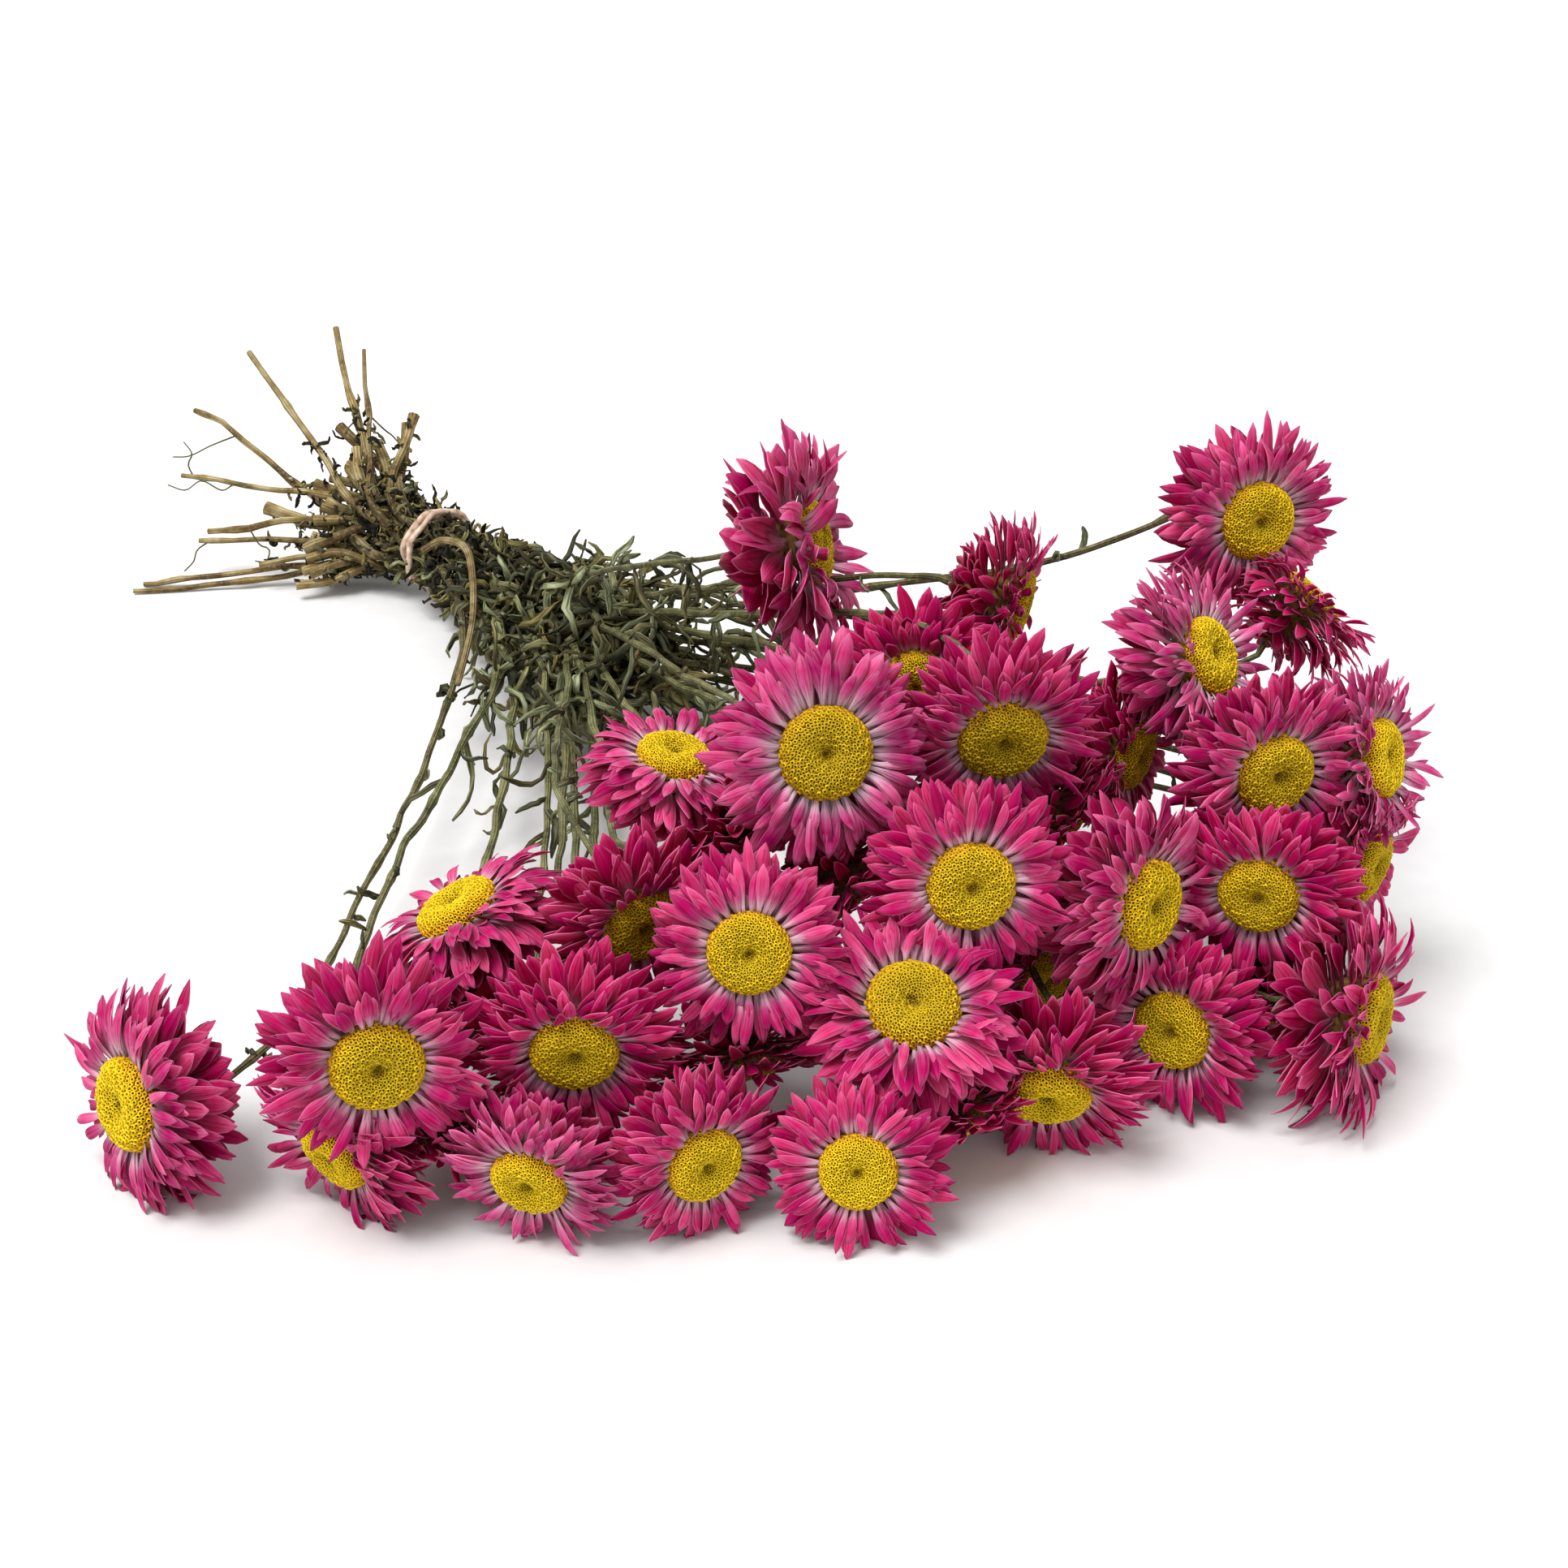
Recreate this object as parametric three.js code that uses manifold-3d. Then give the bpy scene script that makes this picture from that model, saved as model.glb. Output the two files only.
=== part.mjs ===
// A tied bunch of dried everlasting flowers that lies on a flat surface.
// Millimetres, +Z up. The stems run along X, with the cut ends at -X and the flower heads at +X.
// The bunch is laid out as seen by someone who stands in front of the heads: x to the right, y away, z up.
// At the end the whole group is turned so that its length runs along X, and set down on z = 0.
import * as THREE from "three";
import { mergeVertices } from "three/addons/utils/BufferGeometryUtils.js";
import Module from "manifold-3d";

// ---- Driving sizes ----
const HEAD_DIAMETER = 41; // a typical head across its bracts; the cluster of heads grows with it
const TIE_DISTANCE = 300; // from the middle of the heads back to the tie
const TAIL_LENGTH = 112; // from the tie back to the longest cut end
const SHORTEST_TAIL = 46;
const STEM_DIAMETER = 2.6;
const STEM_GAP = 0.5; // least space between two stems
const STEM_SIDES = 6;
const TIE_HEIGHT = 19; // middle of the tied stems above the surface
const TIE_GRIP = 9; // half the length over which the tied stems run straight and side by side
const TIE_WIDTH = 3;
const TIE_THICKNESS = 1.4;
const TIE_CLEARANCE = 0.4; // between the band and the outermost stems
const LEAF_START = 14; // where the mass of leaves begins, in front of the tie
const LEAF_LENGTH = 84; // how far the mass of leaves reaches towards the heads
const LEAF_WALL = 6; // how thick the leaves lie round the stems
const LEAF_CLEARANCE = 1.2; // between the leaves and the stems they lie on
const JOINT_GAP = 0.3; // between pieces that touch
const HEAD_SEGMENTS = 12;
const BUNCH_TURN = 58; // degrees, brings the stems-to-heads direction onto +X
const NECK = 7; // straight end of a stem behind its head
const APPROACH = 13; // how far behind its neck a stem starts to bend towards its head
const LEAVE_AFTER = 0.22; // share of a stem's run over which it still goes the way of the tie
const LEAVE_EARLY = 0.1; // the same for the stem whose head lies furthest to the side
const WIDEST_TURN = 0.75; // cosine of the angle at which a head lies furthest to the side
const NARROW_TURN = 0.95; // and of the angle below which stems leave the tie late
const LEAVE_TURN = 0.1; // how much it has turned towards its head by then
const ARRIVE_TURN = 0.08; // how much it still leans towards the tie where it nears its head
const TAIL_TURN = 0.12; // how much a tail has turned towards its cut end just behind the tie
const LEAF_SIDES = 12;
const LEAF_STATIONS = 7; // rings of the mass of leaves along the bunch
const TIE_SEGMENTS = 24;

// A head's outline from the back of its base to the middle of its disc, as shares of its radius:
// distance from the axis, then height along the axis in front of the widest bracts.
const HEAD_OUTLINE = [
  [0, -0.6],
  [0.17, -0.6],
  [0.5, -0.38],
  [1, 0.05],
  [0.94, 0.2],
  [0.47, 0.12],
  [0.38, 0.26],
  [0, 0.24],
];
const BACK_OF_HEAD = 0.6; // how far the base reaches behind the widest bracts, as a share of the radius
const FRONT_OF_HEAD = 0.26;

// The heads, laid out by hand for a typical head of LAID_OUT_FOR across.
// x, y, z of the middle; turn to the right of straight ahead and lift above level, in degrees; diameter.
const LAID_OUT_FOR = 41;
const HEADS = [
  [-132, -86, 20.8, -49, 9, 45],
  [-80, -103, 42, 15, 0, 43],
  [-89, -97, 17.2, -40, -18, 38],
  [-68, -53, 45, -95, 62, 42],
  [-42, -91, 38, 3, -11, 41],
  [-50, -106, 17, -16, -14, 36],
  [-17, -102, 17.8, 29, -3, 37],
  [15, -104, 17, -6, 12, 36],
  [-7, -78, 52, 0, 15, 39],
  [-31, -58, 48, 29, -15, 40],
  [-24, -31, 70, 75, 78, 38],
  [8, -48, 82, 13, 19, 45],
  [46, -34, 80, 8, -15, 44],
  [38, -64, 60, 9, 9, 42],
  [75, -51, 48, 48, 6, 45],
  [103, -42, 46, -18, -5, 40],
  [26, -82, 40, 7, 60, 44],
  [55, -76, 19, -6, -27, 43],
  [85, -55, 19.4, -32, 4, 40],
  [123, -55, 22, 62, 2, 46],
  [106, -24, 66, 21, -2, 42],
  [131, -11, 62, 60, 17, 41],
  [92, -6, 84, 60, 30, 41],
  [112, 52, 95, 21, 4, 43],
  [124, 42, 76, 108, 42, 38],
  [4, 53, 88, 83, 13, 46],
  [52, 32, 82, 74, -11, 40],
  [30, 8, 72, 0, 0, 40],
  [129, -18, 40, 55, -5, 40],
];
// Stems that bend on the way: head number, share of the run, how far sideways and upwards in mm.
const BENT_STEMS = [[24, 0.85, -13, -12]];
const CLUSTER_MIDDLE = [20, -50]; // x and y of the middle of the heads, for the same layout
const TIE_BEARING = 115; // degrees from x towards y, the way from the heads back to the tie
const STEMS_BEARING = -52; // degrees, the way the stems run through the tie towards the heads

// The cut ends fan out behind the tie, from low on the near side to high on the far side.
const FAN_NEAR = -0.78; // sideways, as a share of a tail's length
const FAN_FAR = 0.4;
const FAN_LOW = -0.16; // upwards, as a share of a tail's length
const FAN_HIGH = 0.56;
const FAN_EASE = 1.5; // above 1, more of the tails lie low on the near side
const FAN_DEPTH = 2.4; // how much the fan spreads across itself, in slot widths per slot
const CUT_PHASE = 2.4; // radians from one cut end to the next, which mixes long and short ones
const FEW_LONG = 8; // the larger, the fewer long cut ends; 8 leaves about seven

const wasm = await Module();
wasm.setup();

const radians = THREE.MathUtils.degToRad;
const stemRadius = STEM_DIAMETER / 2;
const pitch = STEM_DIAMETER + STEM_GAP;
const up = new THREE.Vector3(0, 0, 1);

// ---- Solids ----

// A closed three.js geometry as a solid that can be cut.
function solidFrom(geometry) {
  const bare = geometry.index ? geometry.toNonIndexed() : geometry.clone();
  bare.deleteAttribute("normal");
  bare.deleteAttribute("uv");
  const merged = mergeVertices(bare, 1e-4);
  return new wasm.Manifold(
    new wasm.Mesh({
      numProp: 3,
      vertProperties: new Float32Array(merged.attributes.position.array),
      triVerts: new Uint32Array(merged.index.array),
    }),
  );
}

function geometryFrom(solid) {
  const mesh = solid.getMesh();
  const geometry = new THREE.BufferGeometry();
  geometry.setAttribute("position", new THREE.BufferAttribute(mesh.vertProperties, 3));
  geometry.setIndex(new THREE.BufferAttribute(mesh.triVerts, 1));
  geometry.computeVertexNormals();
  return geometry;
}

// What is left after a cut can hold slivers: the piece itself is the largest body.
function largestBody(solid) {
  const bodies = solid.decompose();
  bodies.sort((a, b) => b.volume() - a.volume());
  return bodies[0];
}

// Keeps what lies on the side of a plane that its normal points to.
function keepBeyond(solid, normal, point) {
  return solid.trimByPlane(normal.toArray(), point.dot(normal));
}

// ---- Heads ----

function layOutHead([x, y, z, turn, lift, diameter]) {
  const scale = HEAD_DIAMETER / LAID_OUT_FOR;
  const level = Math.cos(radians(lift));
  const axis = new THREE.Vector3(
    Math.sin(radians(turn)) * level,
    -Math.cos(radians(turn)) * level,
    Math.sin(radians(lift)),
  );
  const radius = (diameter / 2) * scale;
  const centre = new THREE.Vector3(x, y, z).multiplyScalar(scale);
  const back = centre.clone().addScaledVector(axis, -BACK_OF_HEAD * radius);
  return { centre, axis, radius, back };
}

function headSolid(head) {
  const outline = HEAD_OUTLINE.map(
    ([r, h]) => new THREE.Vector2(r * head.radius, h * head.radius),
  );
  const geometry = new THREE.LatheGeometry(outline, HEAD_SEGMENTS);
  const turned = new THREE.Quaternion().setFromUnitVectors(new THREE.Vector3(0, 1, 0), head.axis);
  geometry.applyQuaternion(turned);
  geometry.translate(...head.centre.toArray());
  return keepBeyond(solidFrom(geometry), up, new THREE.Vector3());
}

// Two heads that press into each other each give way up to a plane halfway between them.
function pressApart(solids, heads) {
  for (let i = 0; i < heads.length; i++) {
    for (let j = i + 1; j < heads.length; j++) {
      const reach = heads[i].radius + heads[j].radius;
      const apart = heads[i].centre.distanceTo(heads[j].centre);
      if (apart > reach || solids[i].intersect(solids[j]).isEmpty()) continue;
      const away = heads[i].centre.clone().sub(heads[j].centre).normalize();
      const share = heads[j].radius / reach;
      const middle = heads[j].centre.clone().addScaledVector(away, apart * share);
      const near = middle.clone().addScaledVector(away, JOINT_GAP / 2);
      const far = middle.clone().addScaledVector(away, -JOINT_GAP / 2);
      solids[i] = largestBody(keepBeyond(solids[i], away, near));
      solids[j] = largestBody(keepBeyond(solids[j], away.clone().negate(), far));
    }
  }
}

// ---- Stems ----

// The places of the stems in the tie: a hexagonal packing, filled from the middle outwards.
function tieSlots(count) {
  const slots = [];
  const reach = 4;
  for (let row = -reach; row <= reach; row++) {
    for (let step = -reach; step <= reach; step++) {
      slots.push(new THREE.Vector2(row * pitch * Math.sin(Math.PI / 3), (step + row / 2) * pitch));
    }
  }
  slots.sort((a, b) => a.length() - b.length() || a.x - b.x || a.y - b.y);
  return slots.slice(0, count);
}

// Gives each head the slot that keeps its stem from crossing others: columns from side to side,
// then from low to high inside a column.
function matchSlots(heads, slots, side) {
  const bySide = heads.map((head, index) => ({ index, head }));
  bySide.sort((a, b) => a.head.centre.dot(side) - b.head.centre.dot(side));
  const columns = new Map();
  for (const slot of [...slots].sort((a, b) => a.x - b.x || a.y - b.y)) {
    const key = Math.round(slot.x / pitch / Math.sin(Math.PI / 3));
    columns.set(key, [...(columns.get(key) ?? []), slot]);
  }
  const matched = [];
  for (const column of columns.values()) {
    const group = bySide.splice(0, column.length);
    group.sort((a, b) => a.head.centre.z - b.head.centre.z);
    group.forEach((entry, place) => (matched[entry.index] = column[place]));
  }
  return matched;
}

// Where each stem was cut, from its slot in the tie and its place in the fan.
function cutEnd(slot, rank, count, tie, length) {
  const along = (rank / (count - 1)) ** FAN_EASE;
  const across = ((slot.y - slot.x) / 2) * FAN_DEPTH * (length / TAIL_LENGTH);
  const sideways = THREE.MathUtils.lerp(FAN_NEAR, FAN_FAR, along);
  const upwards = THREE.MathUtils.lerp(FAN_LOW, FAN_HIGH, along);
  const back = Math.sqrt(1 - sideways * sideways - upwards * upwards);
  return tie.middle
    .clone()
    .addScaledVector(tie.side, sideways * length - across)
    .addScaledVector(up, upwards * length + across)
    .addScaledVector(tie.forward, -back * length);
}

// The points a stem runs through before it is pushed clear of the others.
function stemPoints(head, slot, end, tie, bent) {
  const inTie = tie.middle.clone().addScaledVector(tie.side, slot.x).addScaledVector(up, slot.y);
  const rear = inTie.clone().addScaledVector(tie.forward, -TIE_GRIP);
  const front = inTie.clone().addScaledVector(tie.forward, TIE_GRIP);
  const neck = head.back.clone().addScaledVector(head.axis, -JOINT_GAP);
  const bend = neck.clone().addScaledVector(head.axis, -NECK);
  const settle = rear.clone().addScaledVector(tie.forward, -TIE_GRIP).lerp(end, TAIL_TURN);
  const tail = new THREE.CatmullRomCurve3([end, settle, rear]).getSpacedPoints(4);
  const run = bend.clone().sub(front);
  const straight = run.clone().setZ(0).normalize().dot(tie.forward);
  const late = THREE.MathUtils.smoothstep(straight, WIDEST_TURN, NARROW_TURN);
  const keep = run.length() * THREE.MathUtils.lerp(LEAVE_EARLY, LEAVE_AFTER, late);
  const leave = front.clone().addScaledVector(tie.forward, keep).lerp(bend, LEAVE_TURN);
  const arrive = bend.clone().addScaledVector(head.axis, -APPROACH);
  arrive.lerp(front, ARRIVE_TURN);
  const way = [front, leave, arrive, bend];
  if (bent) {
    const [, share, sideways, upwards] = bent;
    const side = up.clone().cross(run).normalize();
    const sag = front.clone().lerp(bend, share).addScaledVector(side, sideways).addScaledVector(up, upwards);
    way.splice(2, 1, sag);
  }
  const body = new THREE.CatmullRomCurve3(way).getSpacedPoints(9);
  return [...tail, ...body, neck];
}

const TAIL_STEPS = 4; // steps between the cut end and the tie
// The rings in the tie and behind the head stay where they are.
function isFixed(place, count) {
  return place === TAIL_STEPS || place === TAIL_STEPS + 1 || place >= count - 2;
}

// The closest points of two straight stretches, as how far along each they lie.
function closest(p, q, r, s) {
  const a = q.clone().sub(p);
  const b = s.clone().sub(r);
  const c = p.clone().sub(r);
  const aa = a.dot(a);
  const bb = b.dot(b);
  const ab = a.dot(b);
  const ac = a.dot(c);
  const bc = b.dot(c);
  const spread = aa * bb - ab * ab;
  const clamp = THREE.MathUtils.clamp;
  let u = spread > 1e-9 ? clamp((ab * bc - ac * bb) / spread, 0, 1) : 0.5;
  let v = clamp((ab * u + bc) / bb, 0, 1);
  u = clamp((ab * v - ac) / aa, 0, 1);
  v = clamp((ab * u + bc) / bb, 0, 1);
  return [u, v];
}

const FIRM_PUSH = 1.4; // a stretch is moved by its ends, so an end moves a little more than its share

// Pushes two stretches apart until their middles are at least `least` from each other.
function pushApart(one, i, two, j, least) {
  const [p, q, r, s] = [one[i], one[i + 1], two[j], two[j + 1]];
  const far = least + p.distanceTo(q) / 2 + r.distanceTo(s) / 2;
  const gap = Math.hypot(p.x + q.x - r.x - s.x, p.y + q.y - r.y - s.y, p.z + q.z - r.z - s.z) / 2;
  if (gap > far) return 0;
  const [u, v] = closest(p, q, r, s);
  const away = p.clone().lerp(q, u).sub(r.clone().lerp(s, v));
  const distance = away.length();
  if (distance >= least) return 0;
  away.normalize().multiplyScalar((least - distance) / 2 + 0.01);
  const moves = [
    [one, i, 1 - u, 1],
    [one, i + 1, u, 1],
    [two, j, 1 - v, -1],
    [two, j + 1, v, -1],
  ];
  for (const [stem, place, share, sign] of moves) {
    if (isFixed(place, stem.length)) continue;
    stem[place].addScaledVector(away, sign * Math.min(1, share * FIRM_PUSH));
  }
  return least - distance;
}

const BACK_SLOPE = 1.3; // how fast the back of a head widens, distance from the axis per height
const LONGEST_MOVE = 2; // the most that counts as one move
const MOVE_OUT = 0.3; // shares of it in which a point moves away from the axis and backwards
const MOVE_BACK = 0.35;

// Moves a stem's free points out from behind a head that isn't its own.
function clearHead(stem, head, own) {
  const reach = head.radius + 2 * STEM_DIAMETER;
  stem.forEach((point, place) => {
    if (isFixed(place, stem.length) || (own && place > stem.length - 4)) return;
    const offset = point.clone().sub(head.centre);
    if (offset.length() > reach) return;
    const height = offset.dot(head.axis);
    if (height > FRONT_OF_HEAD * head.radius + STEM_DIAMETER) return;
    const outwards = offset.addScaledVector(head.axis, -height);
    const room = height + BACK_OF_HEAD * head.radius + STEM_DIAMETER;
    const inside = room * BACK_SLOPE + stemRadius - outwards.length();
    if (inside <= 0 || room <= 0) return;
    const move = Math.min(inside, LONGEST_MOVE);
    point.addScaledVector(outwards.normalize(), move * MOVE_OUT);
    point.addScaledVector(head.axis, -move * MOVE_BACK);
  });
}

// Spreads how far each point was pushed over its neighbours, so that a pushed stem still bends smoothly.
function smoothPushes(stem, drawn) {
  const stiffness = 0.25;
  const pushed = stem.map((point, k) => point.clone().sub(drawn[k]));
  for (let k = 1; k < stem.length - 1; k++) {
    if (isFixed(k, stem.length)) continue;
    const around = pushed[k - 1].clone().add(pushed[k + 1]).multiplyScalar(0.5);
    stem[k].copy(drawn[k]).add(pushed[k].lerp(around, stiffness));
  }
}

function settleStems(stems, heads) {
  const shapingRounds = 120;
  const rounds = 420;
  const drawn = stems.map((stem) => stem.map((point) => point.clone()));
  for (let round = 0; round < rounds; round++) {
    const shaping = round < shapingRounds;
    if (shaping) stems.forEach((stem, s) => smoothPushes(stem, drawn[s]));
    if (shaping) {
      stems.forEach((stem, s) => heads.forEach((head, h) => clearHead(stem, head, s === h)));
    }
    let worst = 0;
    for (let a = 0; a < stems.length; a++) {
      for (let b = a + 1; b < stems.length; b++) {
        for (let i = 0; i < stems[a].length - 1; i++) {
          for (let j = 0; j < stems[b].length - 1; j++) {
            const least = pitch - (shaping ? 0 : 0.02);
            worst = Math.max(worst, pushApart(stems[a], i, stems[b], j, least));
          }
        }
      }
    }
    for (const stem of stems) {
      for (const point of stem) point.z = Math.max(point.z, stemRadius);
    }
    if (!shaping && worst < 0.1) break;
  }
}

// A path whose rings stand exactly on the chosen points.
class StemPath extends THREE.Curve {
  constructor(points) {
    super();
    this.points = points;
  }
  getPoint(t) {
    const last = this.points.length - 1;
    const place = THREE.MathUtils.clamp(t, 0, 1) * last;
    const before = Math.min(Math.floor(place), last - 1);
    return this.points[before].clone().lerp(this.points[before + 1], place - before);
  }
  getPointAt(u) {
    return this.getPoint(u);
  }
  getTangentAt(u) {
    return this.getTangent(u);
  }
}

function tube(points, radius) {
  const section = new THREE.Shape();
  for (let k = 0; k < STEM_SIDES; k++) {
    const angle = (k / STEM_SIDES) * 2 * Math.PI;
    const corner = [radius * Math.cos(angle), radius * Math.sin(angle)];
    if (k === 0) section.moveTo(...corner);
    else section.lineTo(...corner);
  }
  section.closePath();
  const path = new StemPath(points);
  return new THREE.ExtrudeGeometry(section, { steps: points.length - 1, extrudePath: path });
}

// ---- Leaves ----

// Where each stem passes a plane across the bunch, measured sideways and upwards from the tie.
function crossings(stems, tie, distance) {
  const found = [];
  for (const stem of stems) {
    const ahead = stem.map((p) => p.clone().sub(tie.middle).dot(tie.forward) - distance);
    const k = ahead.findIndex((d, place) => place > TAIL_STEPS && d <= 0 && ahead[place + 1] > 0);
    if (k < 0) continue;
    const p = stem[k].clone().lerp(stem[k + 1], ahead[k] / (ahead[k] - ahead[k + 1]));
    p.sub(tie.middle);
    found.push(new THREE.Vector2(p.dot(tie.side), p.z));
  }
  return found;
}

// A ring that holds all the crossings, as its centre and its radius in each direction.
function ringRound(points, directions) {
  const middle = new THREE.Vector2();
  points.forEach((p) => middle.addScaledVector(p, 1 / points.length));
  const reach = directions.map((way) => Math.max(...points.map((p) => p.clone().sub(middle).dot(way))));
  const half = Math.cos(Math.PI / directions.length);
  const radii = reach.map((r, k) => {
    const before = reach.at(k - 1);
    const after = reach[(k + 1) % reach.length];
    return Math.max(before, r, after) / half / half;
  });
  return { middle, radii };
}

// A sleeve of leaves round the stems, open at both ends.
function leafSleeve(stems, tie) {
  const directions = [];
  for (let k = 0; k < LEAF_SIDES; k++) {
    const angle = (k / LEAF_SIDES) * 2 * Math.PI;
    directions.push(new THREE.Vector2(Math.cos(angle), Math.sin(angle)));
  }
  const rings = [];
  const inner = [];
  const outer = [];
  for (let s = 0; s < LEAF_STATIONS; s++) {
    const distance = LEAF_START + (LEAF_LENGTH * s) / (LEAF_STATIONS - 1);
    const { middle, radii } = ringRound(crossings(stems, tie, distance), directions);
    const swell = Math.sin((Math.PI * (s + 0.6)) / LEAF_STATIONS);
    const place = (extra) =>
      directions.map((way, k) =>
        tie.middle
          .clone()
          .addScaledVector(tie.forward, distance)
          .addScaledVector(tie.side, middle.x + way.x * (radii[k] + extra))
          .addScaledVector(up, middle.y + way.y * (radii[k] + extra)),
      );
    inner.push(place(stemRadius + LEAF_CLEARANCE));
    outer.push(place(stemRadius + LEAF_CLEARANCE + LEAF_WALL * (0.35 + 0.65 * swell)));
  }
  rings.push(...outer, ...inner.reverse());
  return keepBeyond(solidFrom(closedRings(rings)), up, new THREE.Vector3());
}

// Joins rings of equal length into one closed surface, the last ring back to the first.
function closedRings(rings) {
  const sides = rings[0].length;
  const position = rings.flat().flatMap((p) => p.toArray());
  const index = [];
  for (let r = 0; r < rings.length; r++) {
    const next = (r + 1) % rings.length;
    for (let k = 0; k < sides; k++) {
      const after = (k + 1) % sides;
      const a = r * sides + k;
      const b = r * sides + after;
      const c = next * sides + k;
      const d = next * sides + after;
      index.push(a, b, c, b, d, c);
    }
  }
  const geometry = new THREE.BufferGeometry();
  geometry.setAttribute("position", new THREE.Float32BufferAttribute(position, 3));
  geometry.setIndex(index);
  return geometry;
}

// ---- Tie ----

function tieRing(slots, tie) {
  const held = Math.max(...slots.map((slot) => slot.length())) + stemRadius;
  const inside = held + TIE_CLEARANCE;
  const outside = inside + TIE_THICKNESS;
  const half = TIE_WIDTH / 2;
  const profile = [
    new THREE.Vector2(inside, -half),
    new THREE.Vector2(outside, -half * 0.7),
    new THREE.Vector2(outside, half * 0.7),
    new THREE.Vector2(inside, half),
    new THREE.Vector2(inside, -half),
  ];
  const geometry = new THREE.LatheGeometry(profile, TIE_SEGMENTS);
  geometry.applyQuaternion(
    new THREE.Quaternion().setFromUnitVectors(new THREE.Vector3(0, 1, 0), tie.forward),
  );
  geometry.translate(...tie.middle.toArray());
  return solidFrom(geometry);
}

// ---- Colours ----
const pink = new THREE.MeshStandardMaterial({ color: "#c8407f", roughness: 0.75, metalness: 0 });
const olive = new THREE.MeshStandardMaterial({ color: "#7d7350", roughness: 0.8, metalness: 0 });
const greyGreen = new THREE.MeshStandardMaterial({ color: "#66704f", roughness: 0.85, metalness: 0 });
const beige = new THREE.MeshStandardMaterial({ color: "#d3a893", roughness: 0.6, metalness: 0 });

// ---- The bunch ----

function tiePlace() {
  const scale = HEAD_DIAMETER / LAID_OUT_FOR;
  const way = radians(TIE_BEARING);
  const middle = new THREE.Vector3(
    CLUSTER_MIDDLE[0] * scale + TIE_DISTANCE * Math.cos(way),
    CLUSTER_MIDDLE[1] * scale + TIE_DISTANCE * Math.sin(way),
    TIE_HEIGHT,
  );
  const run = radians(STEMS_BEARING);
  const forward = new THREE.Vector3(Math.cos(run), Math.sin(run), 0);
  const side = up.clone().cross(forward);
  return { middle, forward, side };
}

function layOutStems(heads, slots, tie) {
  const order = slots.map((slot, index) => ({ index, key: slot.y - slot.x }));
  order.sort((a, b) => a.key - b.key);
  const stems = [];
  order.forEach(({ index }, rank) => {
    const chance = Math.abs(Math.cos(rank * CUT_PHASE)) ** FEW_LONG;
    const length = THREE.MathUtils.lerp(SHORTEST_TAIL, TAIL_LENGTH, chance);
    const end = cutEnd(slots[index], rank, heads.length, tie, length);
    const bent = BENT_STEMS.find(([number]) => number === index + 1);
    stems[index] = stemPoints(heads[index], slots[index], end, tie, bent);
  });
  settleStems(stems, heads);
  return stems;
}

// Cuts a channel for every stem that still runs through a head.
function channelHeads(solids, stems) {
  for (const stem of stems) {
    const channel = solidFrom(tube(stem, stemRadius + JOINT_GAP));
    solids.forEach((solid, h) => {
      if (solid.intersect(channel).isEmpty()) return;
      solids[h] = largestBody(solid.subtract(channel));
    });
  }
}

function makeBunch() {
  const bunch = new THREE.Group();
  const heads = HEADS.map(layOutHead);
  const tie = tiePlace();
  const slots = matchSlots(heads, tieSlots(heads.length), tie.side);
  const stems = layOutStems(heads, slots, tie);
  const headSolids = heads.map(headSolid);
  pressApart(headSolids, heads);
  channelHeads(headSolids, stems);

  const add = (geometry, material, name) => {
    const mesh = new THREE.Mesh(geometry, material);
    mesh.name = name;
    bunch.add(mesh);
  };
  const number = (k) => String(k + 1).padStart(2, "0");
  headSolids.forEach((solid, k) => add(geometryFrom(solid), pink, "head_" + number(k)));
  stems.forEach((stem, k) => add(tube(stem, stemRadius), olive, "stem_" + number(k)));
  add(geometryFrom(leafSleeve(stems, tie)), greyGreen, "leaf_mass");
  add(geometryFrom(tieRing(slots, tie)), beige, "tie_band");
  return bunch;
}

// Turns the bunch so that its length runs along X, and moves the middle of its footprint to the origin.
function setDown(bunch) {
  const turned = new THREE.Group();
  bunch.rotation.z = radians(BUNCH_TURN);
  turned.add(bunch);
  turned.updateMatrixWorld(true);
  const box = new THREE.Box3().setFromObject(turned, true);
  const middle = box.getCenter(new THREE.Vector3());
  bunch.position.set(-middle.x, -middle.y, -box.min.z);
  return turned;
}

export default setDown(makeBunch());
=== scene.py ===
# %% [markdown]
# A tied bunch of dried everlasting flowers, lying on a pale surface.
# The frame holds a plain solid for each head and stem, for the leaves and for the tie.
# This lesson models what those solids stand for: papery bracts, discs packed with florets, thin ribbed
# stems, curled leaves and a soft band. Each piece takes its place from the frame.

# %% Load the frame
import math

import bpy
import numpy as np
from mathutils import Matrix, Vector


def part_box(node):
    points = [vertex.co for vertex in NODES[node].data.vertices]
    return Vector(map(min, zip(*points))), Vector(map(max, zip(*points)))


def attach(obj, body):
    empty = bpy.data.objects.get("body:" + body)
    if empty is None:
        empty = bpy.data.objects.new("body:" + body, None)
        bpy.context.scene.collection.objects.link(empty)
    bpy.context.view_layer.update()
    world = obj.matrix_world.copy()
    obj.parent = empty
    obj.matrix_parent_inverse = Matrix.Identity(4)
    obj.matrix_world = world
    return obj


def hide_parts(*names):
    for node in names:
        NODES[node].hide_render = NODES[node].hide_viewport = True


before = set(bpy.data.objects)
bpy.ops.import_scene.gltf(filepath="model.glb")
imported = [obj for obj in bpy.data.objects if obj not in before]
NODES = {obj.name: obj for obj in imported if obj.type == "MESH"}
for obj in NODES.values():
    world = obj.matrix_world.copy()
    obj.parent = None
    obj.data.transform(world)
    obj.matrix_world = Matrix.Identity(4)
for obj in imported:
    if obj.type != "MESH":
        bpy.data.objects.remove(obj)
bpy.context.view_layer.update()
MM = 0.001
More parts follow.
